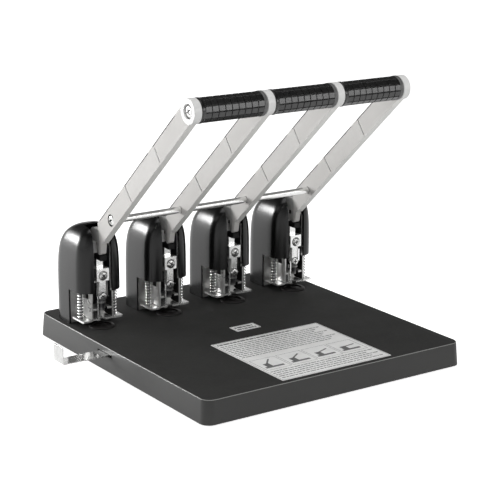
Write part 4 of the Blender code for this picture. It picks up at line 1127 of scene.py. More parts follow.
@dataclass(frozen=True)
class CrossScrew:
    """A pan-headed screw with a cross recess."""

    head_radius: float
    head_height: float
    shank_radius: float
    shank_length: float
    turn: float = 25.0

    def build(self) -> Blank:
        """Shapes the screw with its seat at the origin and its head towards +Z.

        Returns:
            The screw as a blank.
        """
        r = self.head_radius
        h = self.head_height
        profile = (
            (0.0, h),
            (0.45 * r, 0.98 * h),
            (0.72 * r, 0.86 * h),
            (0.90 * r, 0.62 * h),
            (r, 0.28 * h),
            (r, 0.0),
            (self.shank_radius, 0.0),
            (self.shank_radius, -self.shank_length),
            (0.0, -self.shank_length),
        )
        screw = Blank.turned(Plane.XY, profile, (0.0, 0.0), 40)
        arms = [self._recess(self.turn), self._recess(self.turn + 90.0)]
        return screw.cut(*arms)

    def _recess(self, turn: float) -> Blank:
        """One arm of the cross, narrower at its foot.

        Args:
            turn: The arm's direction in degrees.

        Returns:
            The arm as a blank.
        """
        length = 0.66 * self.head_radius
        width = 0.17 * self.head_radius
        arm = Blank.block((-length, -width, 0.10 * self.head_height), (length, width, 1.5 * self.head_height))
        foot = [vert for vert in arm.bm.verts if vert.co.z < self.head_height]
        bmesh.ops.scale(arm.bm, vec=(0.6, 0.6, 1.0), verts=foot)
        spin = Matrix.Rotation(math.radians(turn), 3, "Z")
        bmesh.ops.rotate(arm.bm, cent=(0, 0, 0), matrix=spin, verts=arm.bm.verts)
        return arm

    def painted_shadow_ring(self, rim: float = 0.0006, height: float = 0.00012) -> Blank:
        """Shapes the thin dark ring round the head: painted shadow in the gap under the head.

        Args:
            rim: How far it reaches beyond the head.
            height: Its thickness.

        Returns:
            The ring as a blank.
        """
        outer = self.head_radius + rim
        inner = self.shank_radius
        profile = ((inner, 0.0), (outer, 0.0), (outer, height), (inner, height), (inner, 0.0))
        return Blank.turned(Plane.XY, profile, (0.0, 0.0), 40)

    @staticmethod
    def facing(made: Blank, direction: Triple, painted_shadow: Triple) -> Blank:
        """Turns a screw or its painted shadow ring so that its head points a way, and moves it to its seat.

        Args:
            made: The screw or its painted shadow ring.
            direction: Where the head points.
            painted_shadow: The middle of the face that the head lies on.

        Returns:
            The blank in its place.
        """
        turn = Vector((0.0, 0.0, 1.0)).rotation_difference(Vector(direction)).to_matrix().to_4x4()
        bmesh.ops.transform(made.bm, matrix=Matrix.Translation(painted_shadow) @ turn, verts=made.bm.verts)
        return made

    def place(self, name: str, solid: str, body: str, direction: Triple, painted_shadow: Triple) -> None:
        """Makes the screw and its painted shadow ring, and lets both ride on a body.

        Args:
            name: The screw's name.
            solid: The solid that it stands for.
            body: The body that it rides on.
            direction: Where the head points.
            painted_shadow: The middle of the face that the head lies on.
        """
        screw = Piece.finish(self.facing(self.build(), direction, painted_shadow), name, SCREW_STEEL, body, None, solid)
        heading = Vector(direction)
        middle = Vector(painted_shadow)

        def in_shaded_recess(face: bpy.types.MeshPolygon) -> bool:
            """Whether a face lines the cross recess, which gets painted shade."""
            offset = face.center - middle
            height = offset.dot(heading)
            beside = (offset - heading * height).length
            return 0.0 < height < 0.8 * self.head_height and beside < 0.7 * self.head_radius

        # The cross recess gets painted shade.
        Piece.dress(screw, SHADOW_RING, in_shaded_recess)
        painted_ring = self.facing(self.painted_shadow_ring(), direction, painted_shadow)
        Piece.finish(painted_ring, f"{name}_seat", SHADOW_RING, body)


@dataclass
class Carriage:
    """The sliding bar that carries the punch, with its clamp block, pad, crosshead and screws."""

    bar_half_width: float = 0.0036
    bar_front: float = -0.0030
    bar_back: float = 0.0042
    block_half_width: float = 0.0070
    block_front: float = -0.0044
    block_back: float = 0.0090
    block_low: float = 0.0483
    block_high: float = 0.0614
    pad_low: float = 0.0700
    pad_high: float = 0.0757
    foot_z: float = 0.0315
    crosshead_half_width: float = 0.0213

    def body(self) -> Blank:
        """Shapes the carriage about its punch's axis.

        Returns:
            The carriage as a blank.
        """
        w = self.bar_half_width
        foot = self.foot_z - w
        shoulder = self.block_low + 0.0005
        bar = Blank.sheet(
            Plane.XZ,
            ((-w, foot, w * 0.98), (w, foot, w * 0.98), (w, shoulder, 0.0), (-w, shoulder, 0.0)),
            self.bar_front,
            self.bar_back,
            8,
        )
        block = Blank.block(
            (-self.block_half_width, self.block_front, self.block_low),
            (self.block_half_width, self.block_back, self.block_high),
        )
        neck = Blank.block((-w, 0.0020, self.block_high - 0.0005), (w, 0.0070, self.pad_low + 0.0002))
        half = self.crosshead_half_width
        cross = Blank.block((-half, 0.0050, 0.0450), (half, 0.0125, 0.0486))
        front = self.bar_front
        holes = [Blank.rod(Plane.XY, 0.0020, 0.04, 0.06, (side * 0.0189, 0.00875), 32) for side in (-1, 1)]
        ribs = [
            Blank.block((x - 0.00012, front - 0.001, foot + 0.0085), (x + 0.00012, front + 0.0002, 0.0478))
            for x in (-0.0020, 0.0, 0.0020)
        ]
        bore = Blank.rod(Plane.XY, 0.0019, foot - 0.01, 0.0395, (0.0, 0.0), 24)
        return block.weld(bar, neck, cross.cut(*holes)).cut(bore, *ribs)

    def pad(self) -> Blank:
        """Shapes the pad under the lever's nose."""
        w = self.bar_half_width
        return Blank.block((-w, -0.0064, self.pad_low), (w, 0.0070, self.pad_high))

    def punch(self) -> Blank:
        """Shapes the punch: a hollow cutting end, a collar, and a shank inside the bar.

        Returns:
            The punch as a blank.
        """
        profile = (
            (0.0, 0.0390),
            (0.0016, 0.0390),
            (0.0016, 0.0272),
            (0.0044, 0.0272),
            (0.0047, 0.0269),
            (0.0047, 0.0251),
            (0.0044, 0.0248),
            (0.0030, 0.0248),
            (0.0030, 0.01725),
            (0.0022, 0.0180),
            (0.0022, 0.0212),
            (0.0, 0.0212),
        )
        return Blank.turned(Plane.XY, profile, (0.0, 0.0))

    def build(self, number: int, x: float) -> None:
        """Places the carriage of one head with its punch and screws.

        Args:
            number: The head's number.
            x: Where the head stands.
        """
        body = f"carriage_body_{number}"
        lift = {"x": x, "z": BASE_TOP_Z}
        bar = self.body().moved(**lift)
        Piece.finish(bar, f"slide_bar_{number}", CHROME, body, Edge(0.00035, 2), f"carriage_{number}")
        Piece.finish(self.pad().moved(**lift), f"nose_pad_{number}", PAD_BLACK, body, Edge(0.0006, 3))
        punch = self.punch().moved(**lift)
        Piece.finish(punch, f"hollow_punch_{number}", DARK_STEEL, body, None, f"punch_pin_{number}")
        clamp = CrossScrew(0.0043, 0.0018, 0.0020, 0.0065, 20.0 + 17.0 * number)
        painted_shadow = (x, self.block_front, BASE_TOP_Z + 0.0540)
        clamp.place(f"clamp_bolt_{number}", f"clamp_screw_{number}", body, (0, -1, 0), painted_shadow)
        grub = CrossScrew(0.0042, 0.0010, 0.0012, 0.0010, 50.0 - 13.0 * number)
        painted_shadow = (x, self.bar_front, BASE_TOP_Z + self.foot_z)
        grub.place(f"punch_bolt_{number}", f"set_screw_{number}", body, (0, -1, 0), painted_shadow)


@dataclass
class Head:
    """One punch head, from its cover down to its foot plate."""

    number: int
    x: float

    def build(self) -> None:
        """Places every piece of the head that stands on the base, and then its carriage."""
        lift = {"x": self.x, "z": BASE_TOP_Z}
        n = self.number
        cover = HeadCover().build().moved(**lift)
        Piece.finish(cover, f"hood_{n}", COVER_GLOSS, "base", Edge(0.0004, 3, 50.0), f"cover_{n}")
        bracket = Piece.finish(
            HeadFrame().build().moved(**lift), f"bracket_{n}", PLATE_STEEL, "base", Edge(0.0003, 2), f"head_frame_{n}"
        )
        # The channel's inner faces get painted shade.
        Piece.dress(bracket, CHANNEL_SHADE, self._in_shaded_channel)
        # The back plate's front beside the channel gets painted light.
        Piece.dress(bracket, BACK_PLATE_LIT, self._beside)
        foot = FootPlate()
        plate = foot.build().moved(**lift)
        plate = Piece.finish(plate, f"paper_foot_{n}", CHROME, "base", Edge(0.0004, 3), f"foot_plate_{n}")
        Piece.dress(plate, SPRING_ROD, lambda face: face.center.z > BASE_TOP_Z + 0.0095 and abs(face.center.x - self.x) > 0.015)
        for side, word in ((-1, "left"), (1, "right")):
            ReturnSpring().place(
                f"coil_{word}_{n}",
                f"return_spring_{word}_{n}",
                f"punch_slide_{n}",
                self.x + side * foot.rod_x,
                foot.rod_y,
            )
        Carriage().build(n, self.x)

    def _in_shaded_channel(self, face: bpy.types.MeshPolygon) -> bool:
        """Whether a face of the bracket lines the channel in which the carriage slides; these faces get painted shade.
        """
        across = face.center.x - self.x
        lining = abs(face.normal.x) > 0.9 and across * face.normal.x < 0.0 and abs(across) < 0.0112
        rear = face.normal.y < -0.9 and abs(across) < 0.0105 and face.center.y > 0.020
        return lining or rear

    def _beside(self, face: bpy.types.MeshPolygon) -> bool:
        """Whether a face of the bracket is the back plate's front beside the channel; these faces get painted light.
        """
        return face.normal.y < -0.9 and abs(face.center.x - self.x) > 0.0128 and face.center.y > 0.020


@dataclass
class LeverArm:
    """One lever arm: its wide bar with the chevron joints, its hub, and its nose inside the head."""

    half_thickness: float = 0.00375
    width: float = 0.0204
    start: Pair = (-0.0020, 0.1090)
    hub: Pair = (-0.1715, 0.2470)
    hub_radius: float = 0.0120
    hub_half_width: float = 0.0041
    pivot: Pair = (0.0210, 0.0723)
    rod: Pair = (-0.0290, 0.1170)
    groove_depth: float = 0.0005
    groove_width: float = 0.0011

    def outline(self) -> list[Corner]:
        """The wide bar's corners, from its lower end to the hub.

        Returns:
            The corners, each with its radius.
        """
        start = Vector(self.start)
        hub = Vector(self.hub)
        half = self.width / 2
        reach = (hub - start).length
        tilt = math.asin(half / reach)
        along = Matrix.Rotation(-tilt, 2) @ (hub - start).normalized()
        across = Vector((along.y, -along.x))
        if across.y > 0:
            across = -across
        far = start + along * (reach * math.cos(tilt))
        front = start + across * self.width
        heel = start + Vector((-0.0153 * math.sin(tilt) * 4, -0.0153 * math.cos(tilt)))
        tip = front - along * 0.0078
        points = (start, heel, tip, far + across * self.width, far)
        radii = (0.0015, 0.0040, 0.0008, 0.0, 0.0)
        return [(point.x, point.y, radius) for point, radius in zip(points, radii)]

    def frame(self) -> tuple[Vector, Vector, Vector]:
        """The bar's back edge: its lower end, its direction upwards, and its direction across."""
        points = self.outline()
        start = Vector(points[0][:2])
        far = Vector(points[-1][:2])
        along = (far - start).normalized()
        across = (Vector(points[-2][:2]) - far).normalized()
        return start, along, across

    def bar(self) -> Blank:
        """Shapes the wide bar with its broken edges."""
        return Blank.sheet(Plane.YZ, self.outline(), -self.half_thickness, self.half_thickness)

    def nose(self) -> Blank:
        """Shapes the thin plate with the nose, its tail and the boss round the pivot.

        Returns:
            The plate as a blank.
        """
        y, z = -0.0028, 0.0800
        r = 0.0040
        outline = (
            (self.start[0], self.start[1] - 0.0051, 0.0),
            (self.start[0] - 0.0080, 0.0964, 0.0),
            (y - r, z, 0.0),
            (y - r, z - r, r * 0.98),
            (y + r, z - r, r * 0.98),
            (y + r, 0.0885, 0.0),
            (0.0130, 0.0885, 0.0),
            (0.0130, 0.0700, 0.0),
            (0.0270, 0.0700, 0.004),
            (0.0300, 0.0780, 0.004),
            (0.0120, 0.1015, 0.003),
        )
        plate = Blank.sheet(Plane.YZ, outline, -0.0030, 0.0030, 8)
        boss = Blank.rod(Plane.YZ, 0.0090, -0.0030, 0.0030, self.pivot)
        spacer = Blank.rod(Plane.YZ, 0.0068, -0.0105, 0.0105, self.pivot)
        return plate.weld(boss, spacer).cut(Blank.rod(Plane.YZ, 0.0043, -0.02, 0.02, self.pivot))

    def grooves(self, side: int, inset: float = 0.0, depth: float | None = None) -> list[Blank]:
        """The lines on one face: two chevron joint lines, and the line along the back edge, whose dark strip is
        painted shade along the rounded back edge.

        Args:
            side: -1 for the left face and 1 for the right one.
            inset: How much narrower than the groove the line is.
            depth: How deep the line's body reaches under the face, if not right through the groove.

        Returns:
            The lines as blanks.
        """
        face = side * self.half_thickness
        under = face - side * self.groove_depth
        above = face + side * 0.002 if depth is None else under + side * depth
        start, along, across = self.frame()
        reach = (Vector(self.outline()[-1][:2]) - start).length
        lines = []
        for first, second in self._lines(start, along, across, reach):
            run = (second - first).normalized()
            half = run.orthogonal() * (self.groove_width / 2 - inset)
            corners = [(first + half), (second + half), (second - half), (first - half)]
            outline = [(point.x, point.y, 0.0) for point in corners]
            near, far = sorted((under, above))
            lines.append(Blank.sheet(Plane.YZ, outline, near, far))
        return lines

    def _lines(self, start: Vector, along: Vector, across: Vector, reach: float) -> list[tuple[Vector, Vector]]:
        """The ends of every line on a face: the chevron joints, and the painted shade along the back edge."""
        width = self.width
        edge = across * 0.0006

        def at(share: float, over: float) -> Vector:
            """A point of the face: a share of the bar's length, and a share of its width from the back edge."""
            return start + along * (share * reach) + across * (over * width)

        chevrons = [
            (Vector((-0.1123, 0.2053)), Vector((-0.1227, 0.1917))),
            (Vector((-0.0573, 0.1573)), Vector((-0.0696, 0.1442))),
        ]
        backs = [(at(0.02, 0), at(0.27, 0)), (at(0.33, 0), at(0.61, 0)), (at(0.66, 0), at(0.90, 0))]
        return chevrons + [(first + edge, second + edge) for first, second in backs]

    def build(self, number: int, x: float) -> None:
        """Places one arm with its hub, its nose and its lines.

        Args:
            number: The arm's number.
            x: Where its head stands.
        """
        outer = {1: -1, len(HEAD_XS): 1}.get(number, 0)
        bar = self.bar()
        tools = [*self.grooves(-1), *self.grooves(1)]
        tools.append(Blank.rod(Plane.YZ, 0.0038, -0.01, 0.01, self.rod))
        tools.append(Blank.rod(Plane.YZ, self.hub_radius - 0.002, -0.01, 0.01, self.hub))
        if outer:
            near, far = sorted((outer * (self.half_thickness - 0.0018), outer * 0.01))
            tools.append(Blank.rod(Plane.YZ, 0.0061, near, far, self.rod))
        bar = bar.cut(*tools)
        place = {"x": x, "z": BASE_TOP_Z}
        bar = bar.moved(**place)
        bar = Piece.finish(bar, f"arm_{number}", ARM_SILVER, "lever", Edge(0.0004, 3, 50.0), f"lever_arm_{number}")
        # The narrow faces get painted light.
        Piece.dress(bar, ARM_NARROW_LIT, lambda face: abs(face.normal.x) < 0.5)
        # The rod screw's seat gets painted shade.
        Piece.dress(bar, SHADOW_RING, self._in_shaded_seat)
        nose = self.nose().moved(**place).split((0.0, self.start[0] - 0.0012, 0.0), (0.0, 1.0, 0.0))
        nose = Piece.finish(nose, f"arm_nose_{number}", ARM_SILVER, "lever", Edge(0.0003, 2))
        Piece.dress(nose, TAIL_STEEL, lambda face: face.center.y > self.start[0] - 0.0012)
        hub = self.ring(outer).moved(**place)
        Piece.finish(hub, f"arm_hub_{number}", HUB_WHITE, "lever", Edge(0.0007, 4, 40.0))
        # Dark strips at the lines' floors: chevron joints, and painted shade along the back edge.
        dark_lines = Blank.joined([*self.grooves(-1, 0.00002, 0.00005), *self.grooves(1, 0.00002, 0.00005)])
        Piece.finish(dark_lines.moved(**place), f"arm_joints_and_edge_shade_{number}", ARM_JOINT_AND_EDGE_SHADE, "lever")

    def _in_shaded_seat(self, face: bpy.types.MeshPolygon) -> bool:
        """Whether a face of the bar lines the seat of a rod screw; these faces get painted shade."""
        beside = Vector((face.center.y - self.rod[0], face.center.z - BASE_TOP_Z - self.rod[1])).length
        return beside < 0.0064 and abs(face.normal.x) < 0.9

    def ring(self, outer: int) -> Blank:
        """Shapes the hub: a ring round the handle bar, with the screw's seat in an outer arm.

        Args:
            outer: -1 or 1 for the outer side of an outer arm, and 0 for an inner one.

        Returns:
            The hub as a blank.
        """
        w = self.hub_half_width
        hub = Blank.rod(Plane.YZ, self.hub_radius, -w, w, self.hub, FINE)
        wall = w - 0.0024
        start = -wall if outer < 0 else -0.02
        end = wall if outer > 0 else 0.02
        hub = hub.cut(Blank.rod(Plane.YZ, 0.0083, start, end, self.hub))
        if outer:
            near, far = sorted((outer * (wall - 0.0005), outer * 0.02))
            hub = hub.cut(Blank.rod(Plane.YZ, 0.00675, near, far, self.hub))
        return hub


@dataclass
class Grip:
    """A rubber sleeve on the handle, ribbed in flat tiles."""

    radius: float = 0.0120
    half_length: float = 0.0356
    end_ring: float = 0.0034
    rows: int = 9
    sides: int = 12
    gap: float = 0.00022
    slope: float = 0.00020
    rise: float = 0.0009
    turn: float = -11.0
    centre: Pair = (-0.1715, 0.2470)

    def build(self, number: int, x: float) -> None:
        """Places one grip with its collar.

        Args:
            number: The grip's number.
            x: The middle of the grip.
        """
        sleeve = self._tiles()
        bmesh.ops.translate(sleeve.bm, vec=(x, 0.0, BASE_TOP_Z), verts=sleeve.bm.verts)
        Piece.finish(sleeve, f"sleeve_{number}", GRIP_RUBBER, "lever", Edge(0.00022, 2, 28.0), f"grip_{number}")
        for side, word in ((-1, "left"), (1, "right")):
            ring = self._end(side)
            bmesh.ops.translate(ring.bm, vec=(x, 0.0, BASE_TOP_Z), verts=ring.bm.verts)
            look = COLLAR_GREY if side > 0 else GRIP_RUBBER
            Piece.finish(ring, f"sleeve_end_{word}_{number}", look, "lever", Edge(0.0003, 2))

    def _tiles(self) -> Blank:
        """Shapes the tiled middle: a tube of flats, each flat raised out of the grooves round it.

        Returns:
            The tube as a blank.
        """
        low = self.radius - self.rise / math.cos(math.pi / self.sides)
        middle = self.half_length - self.end_ring
        made = Blank.rod(Plane.YZ, low, -middle, middle, self.centre, self.sides)
        bm = made.bm
        first = min(bm.verts, key=lambda vert: vert.co.y).co
        angle = math.atan2(first.z - self.centre[1], first.y - self.centre[0])
        turn = math.pi - angle + math.radians(self.turn) + math.pi / self.sides
        centre = Matrix.Translation((0.0, *self.centre))
        spin = centre @ Matrix.Rotation(turn, 4, "X") @ centre.inverted()
        bmesh.ops.transform(bm, matrix=spin, verts=bm.verts)
        step = 2 * middle / self.rows
        for row in range(1, self.rows):
            made.split((-middle + row * step, 0.0, 0.0), (1.0, 0.0, 0.0))
        flats = [face for face in bm.faces if abs(face.normal.x) < 0.5]
        bmesh.ops.inset_individual(bm, faces=flats, thickness=self.gap, depth=0.0, use_even_offset=True)
        bmesh.ops.inset_individual(bm, faces=flats, thickness=self.slope, depth=self.rise, use_even_offset=True)
        bore = Blank.rod(Plane.YZ, 0.0083, -2 * middle, 2 * middle, self.centre)
        return made.cut(bore)

    def _end(self, side: int) -> Blank:
        """Shapes a smooth end ring.

        Args:
            side: -1 for the left end and 1 for the right one.

        Returns:
            The ring as a blank.
        """
        inner = side * (self.half_length - self.end_ring - 0.0004)
        outer = side * self.half_length
        profile = (
            (0.0083, inner),
            (self.radius - 0.0003, inner),
            (self.radius, inner + side * 0.0005),
            (self.radius, outer - side * 0.0006),
            (self.radius - 0.0006, outer),
            (0.0083, outer),
            (0.0083, inner),
        )
        return Blank.turned(Plane.YZ, profile, self.centre, FINE)


@dataclass
class Linkage:
    """The bars across the arms and the screws in their ends."""

    rod: Pair = (-0.0290, 0.1170)
    rod_radius: float = 0.0035
    handle: Pair = (-0.1715, 0.2470)
    handle_radius: float = 0.0080

    def build(self) -> None:
        """Places the cross rod, the handle bar and their screws."""
        low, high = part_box("cross_rod")
        rod = Blank.rod(Plane.YZ, self.rod_radius, low.x, high.x, self.rod).moved(z=BASE_TOP_Z)
        Piece.finish(rod, "tie_rod", CHROME, "lever", Edge(0.0005, 3), "cross_rod")
        low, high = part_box("handle_tube")
        bar = Blank.rod(Plane.YZ, self.handle_radius, low.x, high.x, self.handle).moved(z=BASE_TOP_Z)
        Piece.finish(bar, "handle_bar", CHROME, "lever", Edge(0.0005, 3), "handle_tube")
        for word, side in (("left", -1), ("right", 1)):
            bolt = CrossScrew(0.0054, 0.0020, 0.0018, 0.0054)
            self._screw(f"rod_screw_{word}", f"tie_bolt_{word}", side, self.rod, bolt)
            bolt = CrossScrew(0.0060, 0.0018, 0.0025, 0.0074, 35.0)
            self._screw(f"handle_screw_{word}", f"handle_bolt_{word}", side, self.handle, bolt)

    @staticmethod
    def _screw(solid: str, name: str, side: int, place: Pair, screw: CrossScrew) -> None:
        """Places a screw where its solid is.

        Args:
            solid: The screw's solid.
            name: The piece's name.
            side: Which way its head points along X.
            place: Its axis's place.
            screw: The screw.
        """
        low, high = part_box(solid)
        outer = low.x if side < 0 else high.x
        painted_shadow = (outer - side * screw.head_height, place[0], place[1] + BASE_TOP_Z)
        screw.place(name, solid, "lever", (side, 0, 0), painted_shadow)


@dataclass
class Gauge:
    """The sliding paper gauge: a plated strip with an upstand at its outer end."""

    y: float = -0.0590
    width: float = 0.0184
    thickness: float = 0.0012
    top: float = -0.0059
    end_x: float = -0.2012
    inner_x: float = -0.0360
    stop_top: float = 0.0108

    def build(self) -> None:
        """Places the strip."""
        top = BASE_TOP_Z + self.top
        t = self.thickness
        outline = (
            (self.end_x, top - t, 0.0022),
            (self.inner_x, top - t, 0.0),
            (self.inner_x, top, 0.0),
            (self.end_x + t, top, 0.0010),
            (self.end_x + t, BASE_TOP_Z + self.stop_top, 0.0),
            (self.end_x, BASE_TOP_Z + self.stop_top, 0.0),
        )
        strip = Blank.sheet(Plane.XZ, outline, self.y - self.width / 2, self.y + self.width / 2, 8)
        Piece.finish(strip, "gauge_strip", GAUGE_STEEL, "gauge", Edge(0.0002, 2), "paper_gauge")


@dataclass
class StuckPlates:
    """The two thin plates stuck on the base, with dashes in place of words."""

    thickness: float = 0.00018
    ink: float = 0.00003
    lengths: tuple[float, ...] = (0.0042, 0.0024, 0.0060, 0.0031, 0.0050, 0.0018, 0.0038, 0.0066, 0.0028)

    def build(self) -> None:
        """Places the large plate and the small one, each with its print."""
        large = ((-0.062, -0.2345), (0.067, -0.1130))
        small = ((-0.016, -0.0925), (0.013, -0.0770))
        for name, (low, high) in (("large_plate", large), ("small_plate", small)):
            corners = (
                (low[0], low[1], 0.0008),
                (high[0], low[1], 0.0008),
                (high[0], high[1], 0.0008),
                (low[0], high[1], 0.0008),
            )
            plate = Blank.sheet(Plane.XY, corners, BASE_TOP_Z - 0.0001, BASE_TOP_Z + self.thickness)
            Piece.finish(plate, name, LABEL_SILVER, "base", Edge(0.00006, 1))
        Piece.finish(self._rules(*large), "large_plate_print", LABEL_INK, "base")
        Piece.finish(self._small_print(*small), "small_plate_print", LABEL_INK, "base")

    def _strip(self, low: Pair, high: Pair) -> Blank:
        """A thin printed rectangle on a plate."""
        bottom = BASE_TOP_Z + self.thickness - 0.00001
        return Blank.block((*low, bottom), (*high, bottom + self.ink))

    def _border(self, low: Pair, high: Pair, inset: float, width: float) -> Blank:
        """A printed frame inside a rectangle.

        Args:
            low: The rectangle's lowest corner.
            high: The rectangle's highest corner.
            inset: How far inside it the frame lies.
            width: The frame's line width.

        Returns:
            The frame as a blank.
        """
        left, front = low[0] + inset, low[1] + inset
        right, back = high[0] - inset, high[1] - inset
        parts = [
            self._strip((left, front), (right, front + width)),
            self._strip((left, back - width), (right, back)),
            self._strip((left, front), (left + width, back)),
            self._strip((right - width, front), (right, back)),
        ]
        return Blank.joined(parts)

    def _dashes(self, left: float, right: float, y: float, height: float, shift: int) -> list[Blank]:
        """A row of dashes of uneven lengths, which stands for a line of print.

        Args:
            left: Where the row starts.
            right: Where the row ends.
            y: The row's middle.
            height: The dashes' height.
            shift: Which of the lengths comes first.

        Returns:
            The dashes as blanks.
        """
        parts = []
        x = left
        count = shift
        while x < right - 0.002:
            length = min(self.lengths[count % len(self.lengths)], right - x)
            parts.append(self._strip((x, y - height / 2), (x + length, y + height / 2)))
            x += length + 0.0009
            count += 1
        return parts

    def _picture(self, x: float, y: float, number: int) -> list[Blank]:
        """A simple drawing of the punch's lever and base, with the lever lower at each number.

        Args:
            x: The drawing's left.
            y: The drawing's foot.
            number: Which drawing it is, from 0.

        Returns:
            The drawing as blanks.
        """
        parts = [self._strip((x + 0.003, y + 0.003), (x + 0.024, y + 0.0065))]
        parts.append(self._strip((x + 0.006, y + 0.0062), (x + 0.0125, y + 0.015)))
        lever = self._strip((x + 0.010, y + 0.0128), (x + 0.0245, y + 0.0145))
        turn = Matrix.Rotation(math.radians(50.0 - 14.0 * number), 3, "Z")
        bmesh.ops.rotate(lever.bm, cent=(x + 0.010, y + 0.0137, 0.0), matrix=turn, verts=lever.bm.verts)
        return [*parts, lever]

    def _rules(self, low: Pair, high: Pair) -> Blank:
        """A heading, lines of dashes and four small drawings, which fill the large plate.

        Args:
            low: The plate's lowest corner.
            high: The plate's highest corner.

        Returns:
            The print as a blank.
        """
        parts = [self._border(low, high, 0.0012, 0.0004)]
        left, right = low[0] + 0.004, high[0] - 0.004
        parts.extend(self._dashes(left, right - 0.030, high[1] - 0.0060, 0.0030, 5))
        for row in range(9):
            y = high[1] - 0.0120 - row * 0.0046
            parts.extend(self._dashes(left, right - (row % 3) * 0.007, y, 0.0014, row * 3))
        for column in range(4):
            x = left + column * 0.0305
            parts.append(self._border((x, low[1] + 0.0300), (x + 0.0285, low[1] + 0.0610), 0.0, 0.0004))
            parts.extend(self._picture(x, low[1] + 0.0320, column))
        for row in range(5):
            y = low[1] + 0.0250 - row * 0.0046
            parts.extend(self._dashes(left, right - (row % 2) * 0.011, y, 0.0014, row * 2 + 1))
        return Blank.joined(parts)

    def _small_print(self, low: Pair, high: Pair) -> Blank:
        """A frame and two lines of dashes, which fill the small plate."""
        parts = [self._border(low, high, 0.0009, 0.0004)]
        for row, height in ((0.0045, 0.0030), (0.0102, 0.0034)):
            parts.extend(self._dashes(low[0] + 0.003, high[0] - 0.003, low[1] + row, height, int(row * 1000)))
        return Blank.joined(parts)


class Softness(Enum):
    """How large a lamp is, and so how soft its shadows are."""

    BROAD = 1.6
    MIDDLE = 1.0
    NARROW = 0.7
    SMALL = 0.5


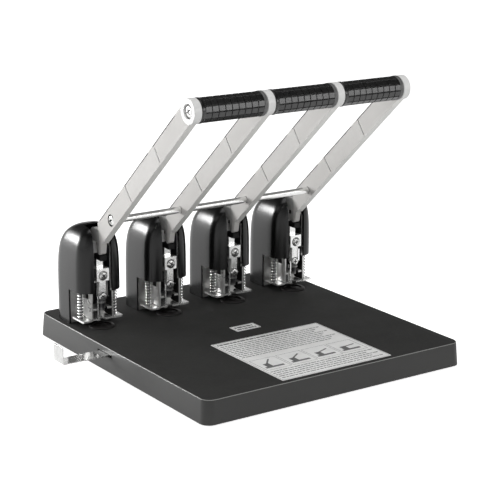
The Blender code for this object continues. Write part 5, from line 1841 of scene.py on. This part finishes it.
@dataclass
class Studio:
    """The floor, the lamps, the background and the camera."""

    lens: float = 113.64
    place: Triple = (-0.864121, -1.342724, 0.523935)
    yaw: float = 34.607
    pitch: float = 15.309
    roll: float = 0.299

    def build(self) -> None:
        """Sets everything up round the part."""
        self._floor()
        self._lamps()
        self._background()
        self._camera()
        bpy.context.scene.view_settings.view_transform = "Standard"

    def _floor(self) -> None:
        """A plain pale floor that keeps the part's soft shadow."""
        slab = Blank()
        bmesh.ops.create_grid(slab.bm, x_segments=1, y_segments=1, size=6.0)
        bmesh.ops.translate(slab.bm, vec=(0.0, 0.0, -0.0001), verts=slab.bm.verts)
        floor = slab.thing("floor")
        look = bpy.data.materials.new("floor_pale")
        look.use_nodes = True
        shader = look.node_tree.nodes["Principled BSDF"]
        shader.inputs["Base Color"].default_value = (0.86, 0.86, 0.86, 1.0)
        shader.inputs["Roughness"].default_value = 0.9
        shader.inputs["Specular IOR Level"].default_value = 0.1
        tree = Tree(look.node_tree)
        path = tree.add("ShaderNodeLightPath").outputs
        seen = tree.sum("MAXIMUM", path["Is Camera Ray"], path["Is Transmission Ray"])
        seen = tree.sum("MAXIMUM", seen, path["Is Glossy Ray"])
        shader.inputs["Emission Color"].default_value = (1.0, 1.0, 1.0, 1.0)
        glow = tree.sum("ADD", tree.sum("MULTIPLY", seen, 0.48), tree.sum("MULTIPLY", path["Is Camera Ray"], 0.34))
        look.node_tree.links.new(glow, shader.inputs["Emission Strength"])
        floor.data.materials.append(look)

    def _lamp(self, name: str, place: Triple, power: float, size: Softness, tall: float | None = None) -> None:
        """A soft lamp that points at the part.

        Args:
            name: The lamp's name.
            place: Where it hangs.
            power: Its power in watts.
            size: How broad it is.
            tall: Its other side, if it isn't square.
        """
        data = bpy.data.lights.new(name, "AREA")
        data.energy = power
        data.shape = "RECTANGLE"
        data.size = size.value
        data.size_y = tall if tall else size.value
        lamp = bpy.data.objects.new(name, data)
        lamp.location = place
        aim = Vector((0.0, -0.08, 0.10)) - Vector(place)
        lamp.rotation_euler = aim.to_track_quat("-Z", "Y").to_euler()
        bpy.context.scene.collection.objects.link(lamp)

    def _lamps(self) -> None:
        """A lamp above, two low ones behind at the left, a low one in front at the right, and a fill."""
        self._lamp("lamp_above", (-0.3, -0.3, 2.2), 18.0, Softness.BROAD)
        self._lamp("lamp_left_low", (-1.15, 1.34, 0.34), 20.0, Softness.SMALL, 0.4)
        self._lamp("lamp_left_near", (-0.50, 0.48, 0.25), 1.1, Softness.SMALL, 0.14)
        self._lamp("lamp_right_low", (0.80, -1.40, 0.60), 5.0, Softness.MIDDLE, 0.3)
        self._lamp("lamp_left_fill", (-1.9, -0.3, 0.8), 3.0, Softness.BROAD, 1.0)

    def _background(self) -> None:
        """White for the camera, metal and gloss, darker overhead and in front, and a plain level of light."""
        world = bpy.data.worlds.new("studio")
        bpy.context.scene.world = world
        world.use_nodes = True
        tree = Tree(world.node_tree)
        light = world.node_tree.nodes["Background"]
        light.inputs["Color"].default_value = (1.0, 1.0, 1.0, 1.0)
        path = tree.add("ShaderNodeLightPath").outputs
        seen = tree.sum("MAXIMUM", path["Is Camera Ray"], path["Is Transmission Ray"])
        incoming = tree.add("ShaderNodeNewGeometry").outputs["Incoming"]
        depth = tree.add("ShaderNodeSeparateXYZ", {"Vector": incoming}).outputs["Z"]
        shine = tree.spread(depth, -0.50, -0.05, 0.06, 1.0)
        ahead = tree.add("ShaderNodeVectorMath", {0: incoming, 1: (-0.57, 0.82, 0.0)}, operation="DOT_PRODUCT")
        shine = tree.sum("MULTIPLY", shine, tree.spread(ahead.outputs["Value"], 0.2, 0.9, 1.0, 0.3))
        glossy = tree.sum("MULTIPLY", path["Is Glossy Ray"], shine)
        plain = tree.sum("MULTIPLY", tree.sum("SUBTRACT", 1.0, path["Is Glossy Ray"]), 0.34)
        rest = tree.sum("ADD", glossy, plain)
        strength = tree.sum("MAXIMUM", seen, rest)
        world.node_tree.links.new(strength, light.inputs["Strength"])

    def _camera(self) -> None:
        """The camera at the photograph's angle."""
        yaw = math.radians(self.yaw)
        pitch = math.radians(self.pitch)
        roll = math.radians(self.roll)
        ahead = Vector((math.sin(yaw) * math.cos(pitch), math.cos(yaw) * math.cos(pitch), -math.sin(pitch)))
        level = Vector((math.cos(yaw), -math.sin(yaw), 0.0))
        up = level.cross(ahead)
        right = math.cos(roll) * level + math.sin(roll) * up
        top = -math.sin(roll) * level + math.cos(roll) * up
        data = bpy.data.cameras.new("camera")
        data.sensor_width = 36.0
        data.lens = self.lens
        data.clip_end = 100.0
        camera = bpy.data.objects.new("camera", data)
        turn = Matrix((right, top, -ahead)).transposed().to_4x4()
        camera.matrix_world = Matrix.Translation(self.place) @ turn
        bpy.context.scene.collection.objects.link(camera)
        bpy.context.scene.camera = camera


def main() -> None:
    """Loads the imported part, dresses it sub-assembly by sub-assembly, and sets up the studio."""
    logging.basicConfig(level=logging.INFO, format="%(name)s: %(message)s")
    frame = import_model()
    Base().build()
    StuckPlates().build()
    Gauge().build()
    Piece.carried(frame["nodes"]["bottom_mat"], BOTTOM_BLACK)
    for number, x in enumerate(HEAD_XS, 1):
        Piece.carried(frame["nodes"][f"pivot_pin_{number}"], DARK_STEEL)
        Head(number, x).build()
        LeverArm().build(number, x)
    for number, (left, right) in enumerate(zip(HEAD_XS, HEAD_XS[1:]), 1):
        Grip().build(number, (left + right) / 2)
    Linkage().build()
    Studio().build()
    bpy.context.view_layer.update()


if __name__ == "__main__":
    main()
